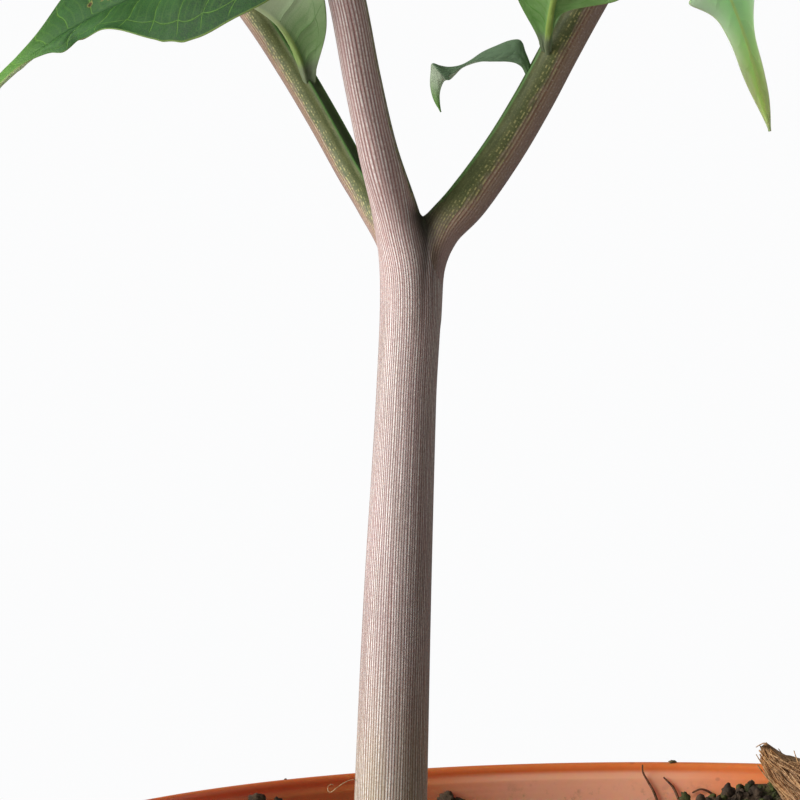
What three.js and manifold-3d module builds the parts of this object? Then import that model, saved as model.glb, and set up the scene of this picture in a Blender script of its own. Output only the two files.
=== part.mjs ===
// A potted Amorphophallus longituberosus: one compound leaf on a stout striped petiole that forks into
// three rachises, standing off-centre in a round terracotta-coloured plastic pot.
// Millimetres, +Z up. The origin is the centre of the pot's underside, and the plant is seen from -Y.
import * as THREE from 'three';
import { mergeVertices } from 'three/addons/utils/BufferGeometryUtils.js';
import Module from 'manifold-3d';

const wasm = await Module();
wasm.setup();

// Driving dimensions of the pot and of what fills it.
const POT_HEIGHT = 190;
const RIM_RADIUS = 125;
const FOOT_RADIUS = 86;
const POT_WALL = 2.4;
const FLOOR_THICKNESS = 3;
const FOOT_WIDTH = 11;
const FOOT_PAD_RADIUS = 26;
const FOOT_DRAFT = 2;
const COLLAR_HEIGHT = 28;
const COLLAR_STEP = 6.5;
const COLLAR_EASE = 3;
const WALL_TAPER_TOP = 116.5;
const LIP_HEIGHT = 2.8;
const LIP_STEP = 1;
const LIP_ROUNDING = 1.6;
const DRAIN_HOLES = 8;
const DRAIN_RADIUS = 5;
const DRAIN_CIRCLE = 50;
const DRAIN_SIDES = 12;
const ROUND_SIDES = 48;
const FIT_GAP = 0.3;
const SOIL_TOP = 180;
const SOIL_ROUGHNESS = 1.6;
const SOIL_RINGS = 9;
const SOIL_EDGE_INSET = 0.9;
const SOIL_BANK = { height: 5, x: 30, y: 108, wide: 28, deep: 26 };
const WALL_CLEARANCE = 0.4;

// Driving dimensions of the leaf.
const BLADE_THICKNESS = 0.8;
const RIB_DEPTH = 0.9;
const BLADE_STEPS = 12;
const BLADE_COLUMNS = [-1, -0.52, 0, 0.52, 1];
const LEAFLET_SKEW = 0.03;
const LEAFLET_CUP = 0.24;
const OPEN_FOLD = 14;
const WAVE_HEIGHT = 1.3;
const WAVES = 2.4;
const WAVE_SPREAD = 2.4;
const EVEN_LEGS = [0.34, 0.33, 0.33];
const BASE_THINNING = 0.75;
const WING_HEIGHT = 0.45;
const WING_ANGLE = 0.95;
const WING_SPREAD = 0.32;
const WING_START = 0.15;
const HOLLOW_SPREAD = 0.6;
const HOLLOW_SHARE = 0.8;
const SEAT_SHARE = 0.6;

// Half the width of a leaflet along its midrib, as a share of its widest half: [place, share].
const LEAFLET_OUTLINE = [
  [0, 0.07], [0.06, 0.2], [0.16, 0.58], [0.29, 0.9], [0.42, 1], [0.55, 0.86],
  [0.66, 0.6], [0.75, 0.36], [0.84, 0.21], [0.92, 0.12], [1, 0.02],
];

// Centre lines as [x, y, z, radius] through which each axis grows, and the compass heading that it leans to.
// The petiole runs on into the front rachis. The other axes start inside the one that carries them.
const AXES = {
  front: {
    heading: 250,
    sides: 20,
    steps: 33,
    winged: 0.62,
    line: [
      [-55.6, 0, 140, 6.4], [-54.8, 0, 172, 6.4], [-53.85, 0, 205, 6.15], [-52.8, 0, 236, 5.72],
      [-51.4, 0, 268, 5.13], [-50.7, 0, 288, 5.1], [-53, -2.5, 299.5, 4], [-56.1, -9, 310.3, 3.33],
      [-58.6, -16.6, 321.5, 3.1], [-60.9, -26, 333.3, 3], [-63.9, -37, 344.5, 2.9], [-67, -49, 353, 2.8],
    ],
  },
  left: {
    heading: 134,
    sides: 12,
    steps: 18,
    winged: 0.2,
    line: [
      [-50.9, 0.8, 284, 3.2], [-52.8, 3, 294, 3], [-57.3, 7.5, 302, 2.6], [-61, 12, 308.3, 2.57],
      [-65.9, 18, 317.3, 2.6], [-71.4, 24.5, 326.8, 2.65], [-77.4, 31, 336.3, 2.7], [-84, 38, 345, 2.6],
      [-92, 46, 353, 2.5],
    ],
  },
  right: {
    heading: 6,
    sides: 12,
    steps: 20,
    winged: 0.2,
    line: [
      [-49.2, 0, 283, 3.6], [-48.3, 0, 291.5, 3.6], [-45.6, 0.2, 297.4, 3.5], [-40.8, 0.5, 302.5, 3.5],
      [-34.7, 1.5, 311, 3.35], [-29.6, 2, 319.5, 3.25], [-25, 3, 328.1, 3.2], [-20.2, 4, 336.7, 3.15],
      [-14.5, 5.2, 346, 3], [-7.5, 6.6, 354.5, 2.8],
    ],
  },
  frontLeft: {
    heading: 224,
    sides: 10,
    steps: 8,
    winged: 0,
    line: [[-65.2, -42, 348.5, 2.4], [-72, -54, 356, 2.2], [-84, -65, 361, 1.9], [-98, -75, 362, 1.5]],
  },
  frontRight: {
    heading: 282,
    sides: 10,
    steps: 8,
    winged: 0,
    line: [[-65.2, -42, 348.5, 2.4], [-65, -57, 358, 2.2], [-60, -73, 364, 1.9], [-55, -90, 366, 1.5]],
  },
  leftFront: {
    heading: 178,
    sides: 10,
    steps: 8,
    winged: 0,
    line: [[-87, 41, 348, 2.2], [-100, 48, 357.5, 2], [-115, 50, 363, 1.75], [-130, 50, 364, 1.4]],
  },
  leftBack: {
    heading: 100,
    sides: 10,
    steps: 8,
    winged: 0,
    line: [[-87, 41, 348, 2.2], [-94, 55, 359, 2], [-97, 70, 365, 1.75], [-99, 86, 367, 1.4]],
  },
  rightFront: {
    heading: 330,
    sides: 10,
    steps: 8,
    winged: 0,
    line: [[-12, 5.8, 349.5, 2.5], [-1, 3, 359, 2.2], [12, -5, 364, 1.9], [26, -13, 365, 1.5]],
  },
  rightBack: {
    heading: 50,
    sides: 10,
    steps: 8,
    winged: 0,
    line: [[-12, 5.8, 349.5, 2.5], [-3, 14, 360, 2.2], [7, 25, 366, 1.9], [17, 38, 368, 1.5]],
  },
};

// Leaflets: the axis that carries each and the place along it, the compass heading of its midrib at the
// base, how that heading bends by the tip, the climb at the base, middle and tip in degrees, the roll of the
// blade, its length and its width. Options: twist, how far the roll turns by the tip; legs, the shares of the
// midrib's three stretches; fold, how far the left and the right half stand up at the base; skew, how much
// nearer to the base the left half is widest; and wave, waves and phase, the height, number and start of the
// margin's waves.
const LEAFLETS = {
  leaflet_front_1: {
    on: 'front', at: 0.887, heading: 140, bend: 20, climb: [-10, -5, -44], roll: -70,
    length: 73.8, width: 26.6, twist: 26, skew: 0.134, waves: 2.6, phase: -1.88,
  },
  leaflet_front_2: {
    on: 'front', at: 0.93, heading: 322, bend: -12, climb: [34, 4, -28], roll: 18, length: 72, width: 26,
  },
  leaflet_front_3: {
    on: 'frontLeft', at: 0.42, heading: 174, bend: 8, climb: [44, 0, -50], roll: -18, length: 84, width: 29,
  },
  leaflet_front_4: {
    on: 'frontLeft', at: 0.72, heading: 258, bend: 2, climb: [30, -2, -38], roll: 12, length: 78, width: 26,
  },
  leaflet_front_5: {
    on: 'frontLeft', at: 1, heading: 214, bend: -6, climb: [18, -16, -56], roll: 0, length: 94, width: 33,
  },
  leaflet_front_6: {
    on: 'frontRight', at: 0.4, heading: 336, bend: -10, climb: [32, -4, -44], roll: 16, length: 82, width: 28,
  },
  leaflet_front_7: {
    on: 'frontRight', at: 0.76, heading: 246, bend: 8, climb: [38, 6, -34], roll: -10, length: 70, width: 24,
  },
  leaflet_front_8: {
    on: 'frontRight', at: 1, heading: 292, bend: 8, climb: [16, -16, -52], roll: 0, length: 92, width: 32,
  },
  leaflet_left_1: {
    on: 'left', at: 0.581, heading: 205.5, bend: -21, climb: [72, -15, -13], roll: 59,
    length: 57.4, width: 23.3, fold: [8, 96], skew: 0.054, phase: -0.09,
  },
  leaflet_left_2: {
    on: 'left', at: 0.9, heading: 208, bend: -8, climb: [30, 0, -44], roll: -14, length: 76, width: 26,
  },
  leaflet_left_3: {
    on: 'leftFront', at: 0.42, heading: 226, bend: -8, climb: [36, 4, -44], roll: 16, length: 82, width: 28,
  },
  leaflet_left_4: {
    on: 'leftFront', at: 0.72, heading: 146, bend: 4, climb: [34, 2, -38], roll: 10, length: 76, width: 26,
  },
  leaflet_left_5: {
    on: 'leftFront', at: 1, heading: 188, bend: 4, climb: [18, -18, -56], roll: 0, length: 94, width: 33,
  },
  leaflet_left_6: {
    on: 'leftBack', at: 0.4, heading: 46, bend: 8, climb: [34, 2, -36], roll: -16, length: 82, width: 28,
  },
  leaflet_left_7: {
    on: 'leftBack', at: 0.76, heading: 134, bend: -6, climb: [38, 8, -28], roll: -10, length: 72, width: 24,
  },
  leaflet_left_8: {
    on: 'leftBack', at: 1, heading: 90, bend: -6, climb: [18, -14, -46], roll: 0, length: 92, width: 32,
  },
  leaflet_right_1: {
    on: 'right', at: 0.612, heading: 182, bend: 0, climb: [75, -17, -88], roll: 80,
    length: 27, width: 7.5, twist: -160, skew: 0, wave: 0.2, phase: 0, legs: [0.17, 0.53, 0.3],
  },
  leaflet_right_2: {
    on: 'right', at: 0.656, heading: 277, bend: 10, climb: [62, -9, -12], roll: -17,
    length: 54.6, width: 25.4, fold: [14, 30], skew: -0.038, phase: -0.155, wave: 1.5,
  },
  leaflet_right_3: {
    on: 'right', at: 0.906, heading: 44, bend: -42, climb: [30, -70, -76], roll: 57,
    length: 65.6, width: 24.4, skew: 0, phase: -1.08, wave: 1.44,
  },
  leaflet_right_4: {
    on: 'rightFront', at: 0.43, heading: 276, bend: 8, climb: [34, 2, -38], roll: -16, length: 78, width: 27,
  },
  leaflet_right_5: {
    on: 'rightFront', at: 0.72, heading: 4, bend: -4, climb: [34, 2, -36], roll: 10, length: 74, width: 26,
  },
  leaflet_right_6: {
    on: 'rightFront', at: 1, heading: 320, bend: 0, climb: [18, -18, -56], roll: 0, length: 92, width: 33,
  },
  leaflet_right_7: {
    on: 'rightBack', at: 0.42, heading: 112, bend: -8, climb: [34, 4, -36], roll: 16, length: 82, width: 27,
  },
  leaflet_right_8: {
    on: 'rightBack', at: 0.76, heading: 20, bend: 2, climb: [40, 8, -30], roll: -10, length: 72, width: 24,
  },
  leaflet_right_9: {
    on: 'rightBack', at: 1, heading: 60, bend: 4, climb: [18, -14, -48], roll: 0, length: 92, width: 32,
  },
};

// The husk chunk that stands in the soil: its front outline as [x, z], and its layers as [y, size].
const HUSK_OUTLINE = [
  [8.3, 210], [10, 204.5], [13.2, 200.5], [20, 189], [26, 178], [31, 165], [50, 163], [49, 178], [44, 191],
  [37, 203.5], [24, 208],
];
const HUSK_LAYERS = [[-5.5, 0.82], [-2, 1], [3, 0.97], [6.5, 0.8]];
const HUSK_CENTRE = [28, 188];
const HUSK_GROWTH = 1.6;

const MATERIALS = {
  pot: new THREE.MeshStandardMaterial({ color: 0xc4713f, roughness: 0.45, metalness: 0 }),
  soil: new THREE.MeshStandardMaterial({ color: 0x32271f, roughness: 0.95, metalness: 0 }),
  husk: new THREE.MeshStandardMaterial({ color: 0xa37a4e, roughness: 0.9, metalness: 0 }),
  stem: new THREE.MeshStandardMaterial({ color: 0x8f7a70, roughness: 0.55, metalness: 0 }),
  leaf: new THREE.MeshStandardMaterial({ color: 0x3c7045, roughness: 0.45, metalness: 0 }),
};

const radians = THREE.MathUtils.degToRad;
const lerp = THREE.MathUtils.lerp;

// A smooth curve through rows of numbers, evenly spaced in place from 0 to 1.
function along(rows, place) {
  const span = rows.length - 1;
  const whole = Math.min(Math.floor(place * span), span - 1);
  const part = place * span - whole;
  const row = (i) => rows[Math.min(Math.max(i, 0), span)];
  return rows[0].map((_, k) => {
    const [a, b, c, d] = [-1, 0, 1, 2].map((shift) => row(whole + shift)[k]);
    const slope = c - a;
    const bend = 2 * a - 5 * b + 4 * c - d;
    const twist = 3 * b - a - 3 * c + d;
    return b + 0.5 * part * (slope + part * (bend + part * twist));
  });
}

// The leaflet's half-width share at a place, smooth between the rows of its outline.
function outlineShare(place) {
  const clamped = Math.min(Math.max(place, 0), 1);
  let i = 0;
  while (i < LEAFLET_OUTLINE.length - 2 && LEAFLET_OUTLINE[i + 1][0] < clamped) i += 1;
  const [from, low] = LEAFLET_OUTLINE[i];
  const [to, high] = LEAFLET_OUTLINE[i + 1];
  const slopeAt = (k) => {
    const before = LEAFLET_OUTLINE[Math.max(k - 1, 0)];
    const after = LEAFLET_OUTLINE[Math.min(k + 1, LEAFLET_OUTLINE.length - 1)];
    return (after[1] - before[1]) / (after[0] - before[0]);
  };
  const step = to - from;
  const s = (clamped - from) / step;
  const rise = s * s * (3 - 2 * s);
  const leave = s * (1 - s) * (1 - s) * step * slopeAt(i);
  const arrive = s * s * (s - 1) * step * slopeAt(i + 1);
  return lerp(low, high, rise) + leave + arrive;
}

// A unit vector from a compass heading (from +X towards +Y) and a climb above the horizon, in degrees.
function direction(heading, climb) {
  const [h, c] = [radians(heading), radians(climb)];
  return new THREE.Vector3(Math.cos(c) * Math.cos(h), Math.cos(c) * Math.sin(h), Math.sin(c));
}

// The side and upper directions of a blade or an axis that runs along a tangent and leans to a heading.
function frameAt(tangent, heading, roll) {
  const level = direction(heading + 90, 0);
  const side = level.addScaledVector(tangent, -level.dot(tangent)).normalize();
  const upper = new THREE.Vector3().crossVectors(tangent, side);
  const [c, s] = [Math.cos(radians(roll)), Math.sin(radians(roll))];
  return {
    side: side.clone().multiplyScalar(c).addScaledVector(upper, s),
    upper: upper.clone().multiplyScalar(c).addScaledVector(side, -s),
  };
}

// A closed geometry from vertices and triangles that face out.
function closedGeometry(vertices, triangles) {
  const geometry = new THREE.BufferGeometry();
  const positions = vertices.flatMap((v) => [v.x, v.y, v.z]);
  geometry.setAttribute('position', new THREE.Float32BufferAttribute(positions, 3));
  geometry.setIndex(triangles.flat());
  return geometry;
}

// The two triangles of a quad whose corners run round it.
function quad(a, b, c, d) {
  return [[a, b, c], [a, c, d]];
}

// The solid of a geometry, for joining and cutting.
function solidOf(geometry) {
  const bare = geometry.clone();
  bare.deleteAttribute('normal');
  bare.deleteAttribute('uv');
  const merged = mergeVertices(bare, 1e-4);
  const mesh = new wasm.Mesh({
    numProp: 3,
    vertProperties: new Float32Array(merged.attributes.position.array),
    triVerts: new Uint32Array(merged.index.array),
  });
  return new wasm.Manifold(mesh);
}

// The geometry of a solid, with flat faces.
function geometryOf(solid) {
  const mesh = solid.getMesh();
  const geometry = new THREE.BufferGeometry();
  geometry.setAttribute('position', new THREE.Float32BufferAttribute(mesh.vertProperties, 3));
  geometry.setIndex([...mesh.triVerts]);
  return geometry;
}

function named(name, geometry, material) {
  geometry.computeVertexNormals();
  const mesh = new THREE.Mesh(geometry, material);
  mesh.name = name;
  return mesh;
}

// Place, radius and tangent of an axis of the leaf.
function axisAt(axis, place) {
  const [x, y, z, radius] = along(axis.line, place);
  const ahead = along(axis.line, Math.min(place + 0.002, 1));
  const behind = along(axis.line, Math.max(place - 0.002, 0));
  const tangent = new THREE.Vector3(ahead[0] - behind[0], ahead[1] - behind[1], ahead[2] - behind[2]);
  return { centre: new THREE.Vector3(x, y, z), radius, tangent: tangent.normalize() };
}

// How far an axis stands out at an angle from its upper side: two low wings edge a hollow upper face.
function axisRadius(radius, angle, wing) {
  const off = Math.abs(Math.atan2(Math.sin(angle), Math.cos(angle)));
  const edge = Math.exp(-(((off - WING_ANGLE) / WING_SPREAD) ** 2));
  const hollow = Math.exp(-((off / HOLLOW_SPREAD) ** 2));
  return radius + wing * WING_HEIGHT * (edge - HOLLOW_SHARE * hollow);
}

// An axis of the leaf as a closed tube.
function axisGeometry(axis) {
  const { sides, steps } = axis;
  const vertices = [];
  for (let i = 0; i <= steps; i += 1) {
    const place = i / steps;
    const { centre, radius, tangent } = axisAt(axis, place);
    const { side, upper } = frameAt(tangent, axis.heading, 0);
    const wing = THREE.MathUtils.smoothstep(place, axis.winged, axis.winged + WING_START);
    for (let j = 0; j < sides; j += 1) {
      const angle = (2 * Math.PI * j) / sides;
      const reach = axisRadius(radius, angle, wing);
      const spoke = upper.clone().multiplyScalar(Math.cos(angle)).addScaledVector(side, Math.sin(angle));
      vertices.push(centre.clone().addScaledVector(spoke, reach));
    }
  }
  const triangles = [];
  for (let i = 0; i < steps; i += 1) {
    for (let j = 0; j < sides; j += 1) {
      const next = (j + 1) % sides;
      const [low, high] = [i * sides, (i + 1) * sides];
      triangles.push(...quad(low + j, high + j, high + next, low + next));
    }
  }
  for (let j = 1; j < sides - 1; j += 1) {
    triangles.push([0, j, j + 1]);
    const top = steps * sides;
    triangles.push([top, top + j + 1, top + j]);
  }
  return closedGeometry(vertices, triangles);
}

// The three stretches of a midrib make a cubic curve that starts just clear of the axis that carries it.
function midrib(leaflet) {
  const { on, at, heading, bend, climb, length, width, legs = EVEN_LEGS } = leaflet;
  const { centre, radius, tangent } = axisAt(AXES[on], at);
  const start = direction(heading, climb[0]);
  const lean = start.dot(tangent);
  const baseHalf = (width / 2) * LEAFLET_OUTLINE[0][1];
  const seat = radius + SEAT_SHARE * WING_HEIGHT + baseHalf * Math.abs(lean);
  const points = [centre.clone()];
  if (at === 1) points[0].addScaledVector(start, FIT_GAP);
  else points[0].addScaledVector(start.clone().addScaledVector(tangent, -lean).normalize(), seat + FIT_GAP);
  legs.forEach((leg, i) => {
    const stretch = direction(heading + (bend * i) / 2, climb[i]).multiplyScalar(length * leg);
    points.push(points[i].clone().add(stretch));
  });
  return new THREE.CubicBezierCurve3(...points);
}

// A leaflet as one closed blade: an even sheet along its midrib, with a rib below.
function leafletGeometry(leaflet, index) {
  const { heading, bend, roll, twist = 0, width, skew = LEAFLET_SKEW } = leaflet;
  const { wave = WAVE_HEIGHT, waves = WAVES, phase = index * WAVE_SPREAD } = leaflet;
  const { fold = [OPEN_FOLD, OPEN_FOLD] } = leaflet;
  const curve = midrib(leaflet);
  const columns = BLADE_COLUMNS.length;
  const [upperFace, lowerFace] = [[], []];
  for (let i = 0; i <= BLADE_STEPS; i += 1) {
    const place = i / BLADE_STEPS;
    const centre = curve.getPoint(place);
    const { side, upper } = frameAt(curve.getTangent(place), heading + bend * place, roll + twist * place);
    const [left, right] = fold.map((angle) => radians(lerp(OPEN_FOLD, angle, 1 - place ** 2)));
    BLADE_COLUMNS.forEach((column) => {
      const hand = Math.sign(column);
      const reach = Math.abs(column);
      const half = (width / 2) * outlineShare(place + hand * skew);
      const standing = hand > 0 ? left : right;
      const ripple = wave * Math.sin(2 * Math.PI * waves * place + phase + hand) * Math.sin(Math.PI * place);
      const across = half * reach * Math.cos(standing);
      const lift = half * (reach * Math.sin(standing) - LEAFLET_CUP * reach ** 2) + ripple * reach ** 2;
      const point = centre.clone().addScaledVector(side, hand * across).addScaledVector(upper, lift);
      const lean = hand === 0 ? (right - left) / 2 : -hand * standing;
      const normal = upper.clone().multiplyScalar(Math.cos(lean)).addScaledVector(side, Math.sin(lean));
      const rib = hand === 0 && i > 0 ? RIB_DEPTH * (1 - place) : 0;
      const thickness = BLADE_THICKNESS * (i === 0 ? BASE_THINNING : 1);
      upperFace.push(point.clone().addScaledVector(normal, thickness / 2));
      lowerFace.push(point.clone().addScaledVector(normal, -thickness / 2 - rib));
    });
  }
  const below = upperFace.length;
  const triangles = [];
  for (let i = 0; i < BLADE_STEPS; i += 1) {
    for (let j = 0; j < columns - 1; j += 1) {
      const corner = i * columns + j;
      const [a, b, c, d] = [corner, corner + columns, corner + columns + 1, corner + 1];
      triangles.push(...quad(a, b, c, d));
      triangles.push([below + a, below + c, below + b], [below + a, below + d, below + c]);
    }
    const [first, last] = [i * columns, i * columns + columns - 1];
    triangles.push(...quad(first, below + first, below + first + columns, first + columns));
    triangles.push(...quad(last, last + columns, below + last + columns, below + last));
  }
  for (let j = 0; j < columns - 1; j += 1) {
    const end = BLADE_STEPS * columns + j;
    triangles.push(...quad(j, j + 1, below + j + 1, below + j));
    triangles.push(...quad(end, below + end, below + end + 1, end + 1));
  }
  return closedGeometry([...upperFace, ...lowerFace], triangles);
}

// The petiole with its three rachises and their branches is one grown piece.
function petioleGeometry() {
  const solids = Object.values(AXES).map((axis) => solidOf(axisGeometry(axis)));
  return geometryOf(solids.reduce((joined, solid) => joined.add(solid)));
}

// The inner face of the pot's wall from the lip down to the floor, as [radius, height].
function innerWall() {
  const collarFoot = POT_HEIGHT - COLLAR_HEIGHT;
  return [
    [RIM_RADIUS - POT_WALL - LIP_STEP, POT_HEIGHT - LIP_HEIGHT],
    [WALL_TAPER_TOP + COLLAR_STEP - POT_WALL, collarFoot + COLLAR_EASE],
    [WALL_TAPER_TOP - POT_WALL, collarFoot - COLLAR_EASE],
    [FOOT_RADIUS + FOOT_DRAFT - POT_WALL, 2 * FLOOR_THICKNESS + FOOT_DRAFT],
    [FOOT_RADIUS - POT_WALL, 2 * FLOOR_THICKNESS],
  ];
}

// A turned pot: foot ring and centre pad, tapered wall, collar, rounded lip and drain holes in its floor.
function potGeometry() {
  const collarFoot = POT_HEIGHT - COLLAR_HEIGHT;
  const footInside = FOOT_RADIUS - FOOT_WIDTH;
  const lipCorner = 0.3 * LIP_ROUNDING;
  const profile = [
    [0, 0],
    [FOOT_PAD_RADIUS, 0],
    [FOOT_PAD_RADIUS + FOOT_DRAFT, FLOOR_THICKNESS],
    [footInside - FOOT_DRAFT, FLOOR_THICKNESS],
    [footInside, 0],
    [FOOT_RADIUS, 0],
    [FOOT_RADIUS + FOOT_DRAFT, FOOT_DRAFT],
    [WALL_TAPER_TOP, collarFoot - FOOT_DRAFT],
    [WALL_TAPER_TOP + COLLAR_STEP, collarFoot],
    [RIM_RADIUS, POT_HEIGHT - LIP_ROUNDING],
    [RIM_RADIUS - lipCorner, POT_HEIGHT - lipCorner],
    [RIM_RADIUS - LIP_ROUNDING, POT_HEIGHT],
    [RIM_RADIUS - POT_WALL - lipCorner, POT_HEIGHT - lipCorner],
    ...innerWall(),
    [0, 2 * FLOOR_THICKNESS],
  ];
  const turned = new THREE.LatheGeometry(profile.map(([r, z]) => new THREE.Vector2(r, z)), ROUND_SIDES);
  turned.rotateX(Math.PI / 2);
  let pot = solidOf(turned);
  for (let i = 0; i < DRAIN_HOLES; i += 1) {
    const hole = new THREE.CylinderGeometry(DRAIN_RADIUS, DRAIN_RADIUS, 4 * FLOOR_THICKNESS, DRAIN_SIDES);
    hole.rotateX(Math.PI / 2);
    const angle = (2 * Math.PI * (i + 0.5)) / DRAIN_HOLES;
    hole.translate(DRAIN_CIRCLE * Math.cos(angle), DRAIN_CIRCLE * Math.sin(angle), FLOOR_THICKNESS);
    pot = pot.subtract(solidOf(hole));
  }
  return geometryOf(pot);
}

// The uneven top of the soil. It banks up against the pot at the back on the right.
function soilHeight(x, y) {
  const lumps = Math.sin(x * 0.11 + 1.3) * Math.cos(y * 0.13) + 0.6 * Math.sin(x * 0.23 - y * 0.19);
  const off = Math.hypot((x - SOIL_BANK.x) / SOIL_BANK.wide, (y - SOIL_BANK.y) / SOIL_BANK.deep);
  return SOIL_TOP + SOIL_ROUGHNESS * lumps + SOIL_BANK.height * Math.exp(-(off ** 2));
}

// The soil fills the pot to its uneven top, with plain holes round the petiole and the husk chunk.
function soilGeometry(petioleSolid, huskSolid) {
  const wall = innerWall().slice(1).map(([r, z]) => [r - WALL_CLEARANCE, z + FIT_GAP]);
  const rimAtTop = RIM_RADIUS - POT_WALL - LIP_STEP - SOIL_EDGE_INSET;
  const vertices = [];
  const spin = (j) => (2 * Math.PI * j) / ROUND_SIDES;
  vertices.push(new THREE.Vector3(0, 0, soilHeight(0, 0)));
  for (let i = 1; i <= SOIL_RINGS; i += 1) {
    for (let j = 0; j < ROUND_SIDES; j += 1) {
      const radius = (rimAtTop * i) / SOIL_RINGS;
      const [x, y] = [radius * Math.sin(spin(j)), radius * Math.cos(spin(j))];
      vertices.push(new THREE.Vector3(x, y, soilHeight(x, y)));
    }
  }
  wall.forEach(([radius, z]) => {
    for (let j = 0; j < ROUND_SIDES; j += 1) {
      vertices.push(new THREE.Vector3(radius * Math.sin(spin(j)), radius * Math.cos(spin(j)), z));
    }
  });
  vertices.push(new THREE.Vector3(0, 0, wall.at(-1)[1]));
  const bands = SOIL_RINGS + wall.length;
  const last = vertices.length - 1;
  const at = (band, j) => 1 + (band - 1) * ROUND_SIDES + (j % ROUND_SIDES);
  const triangles = [];
  for (let j = 0; j < ROUND_SIDES; j += 1) {
    triangles.push([0, at(1, j + 1), at(1, j)]);
    for (let band = 1; band < bands; band += 1) {
      triangles.push(...quad(at(band, j), at(band, j + 1), at(band + 1, j + 1), at(band + 1, j)));
    }
    triangles.push([at(bands, j), at(bands, j + 1), last]);
  }
  return geometryOf(solidOf(closedGeometry(vertices, triangles)).subtract(petioleSolid).subtract(huskSolid));
}

// The hole in the soil that takes the petiole: a plain round shaft along the petiole's foot.
function petioleHole() {
  const shaft = { ...AXES.front, steps: 2, winged: 2 };
  shaft.line = AXES.front.line.slice(0, 3).map(([x, y, z, radius]) => [x, y, z, radius + FIT_GAP]);
  shaft.line[0][2] -= FIT_GAP;
  return solidOf(axisGeometry(shaft));
}

// The husk chunk, or the hole that takes it when it is grown by a margin.
function huskGeometry(margin) {
  const [centreX, centreZ] = HUSK_CENTRE;
  const vertices = [];
  HUSK_LAYERS.forEach(([y, size], k) => {
    const outer = k === 0 || k === HUSK_LAYERS.length - 1;
    const push = outer ? margin * Math.sign(y) : 0;
    HUSK_OUTLINE.forEach(([x, z]) => {
      const [dx, dz] = [(x - centreX) * size, (z - centreZ) * size];
      const grow = 1 + (HUSK_GROWTH * margin) / Math.hypot(dx, dz);
      vertices.push(new THREE.Vector3(centreX + dx * grow, y + push, centreZ + dz * grow));
    });
  });
  const count = HUSK_OUTLINE.length;
  const triangles = [];
  for (let k = 0; k < HUSK_LAYERS.length - 1; k += 1) {
    for (let i = 0; i < count; i += 1) {
      const next = (i + 1) % count;
      triangles.push(...quad(k * count + i, (k + 1) * count + i, (k + 1) * count + next, k * count + next));
    }
  }
  const outline = HUSK_OUTLINE.map(([x, z]) => new THREE.Vector2(x, z));
  THREE.ShapeUtils.triangulateShape(outline, []).forEach(([a, b, c]) => {
    const back = (HUSK_LAYERS.length - 1) * count;
    triangles.push([a, b, c], [back + a, back + c, back + b]);
  });
  return closedGeometry(vertices, triangles);
}

const plant = new THREE.Group();
plant.add(named('pot', potGeometry(), MATERIALS.pot));
plant.add(named('soil', soilGeometry(petioleHole(), solidOf(huskGeometry(FIT_GAP))), MATERIALS.soil));
plant.add(named('husk_chunk', huskGeometry(0), MATERIALS.husk));
plant.add(named('petiole', petioleGeometry(), MATERIALS.stem));
Object.entries(LEAFLETS).forEach(([name, leaflet], index) => {
  plant.add(named(name, leafletGeometry(leaflet, index), MATERIALS.leaf));
});

export default plant;
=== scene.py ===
# Looks of a potted Amorphophallus longituberosus: striped petiole, pointed leaflets, plastic pot and soil.
# Sizes are in millimetres until a mesh is made, which is in metres, +Z up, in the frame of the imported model.
import math
import random

import bpy
import numpy as np
from mathutils import Euler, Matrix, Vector, noise


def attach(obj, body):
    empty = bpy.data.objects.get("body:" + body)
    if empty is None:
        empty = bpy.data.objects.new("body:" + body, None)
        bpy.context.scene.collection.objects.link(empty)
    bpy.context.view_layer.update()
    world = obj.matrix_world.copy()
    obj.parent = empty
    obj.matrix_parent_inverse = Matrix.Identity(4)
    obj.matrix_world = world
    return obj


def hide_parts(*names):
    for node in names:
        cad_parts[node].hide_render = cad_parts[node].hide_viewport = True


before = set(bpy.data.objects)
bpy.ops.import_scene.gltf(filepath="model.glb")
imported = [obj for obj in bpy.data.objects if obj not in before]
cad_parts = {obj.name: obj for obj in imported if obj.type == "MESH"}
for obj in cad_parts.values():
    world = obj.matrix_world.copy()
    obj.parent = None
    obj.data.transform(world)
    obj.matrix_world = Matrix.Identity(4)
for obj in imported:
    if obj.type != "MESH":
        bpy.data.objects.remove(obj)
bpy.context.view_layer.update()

MM = 0.001
SEED = 7
random.seed(SEED)

# Pot and soil.
POT_HEIGHT = 190
RIM_RADIUS = 125
FOOT_RADIUS = 86
POT_WALL = 2.4
FLOOR_THICKNESS = 3
FOOT_WIDTH = 11
FOOT_PAD_RADIUS = 26
FOOT_DRAFT = 2
COLLAR_HEIGHT = 28
COLLAR_STEP = 6.5
COLLAR_EASE = 3
WALL_TAPER_TOP = 116.5
LIP_HEIGHT = 2.8
LIP_STEP = 1
LIP_ROUNDING = 1.2
DRAIN_HOLES = 8
DRAIN_RADIUS = 5
DRAIN_CIRCLE = 50
DRAIN_SIDES = 32
POT_SIDES = 192
SHARP_ANGLE = 35
SOIL_TOP = 180
SOIL_ROUGHNESS = 1.6
SOIL_BANK = {"height": 5, "x": 30, "y": 108, "wide": 28, "deep": 26}
SOIL_SIDES = 300
SOIL_RINGS = 100
# How far the soil stays off the wall at its top, off the wall below and off the pot's floor.
SOIL_EDGE_GAP = 0.35
SOIL_WALL_GAP = 0.4
SOIL_FLOOR_GAP = 0.3

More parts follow.
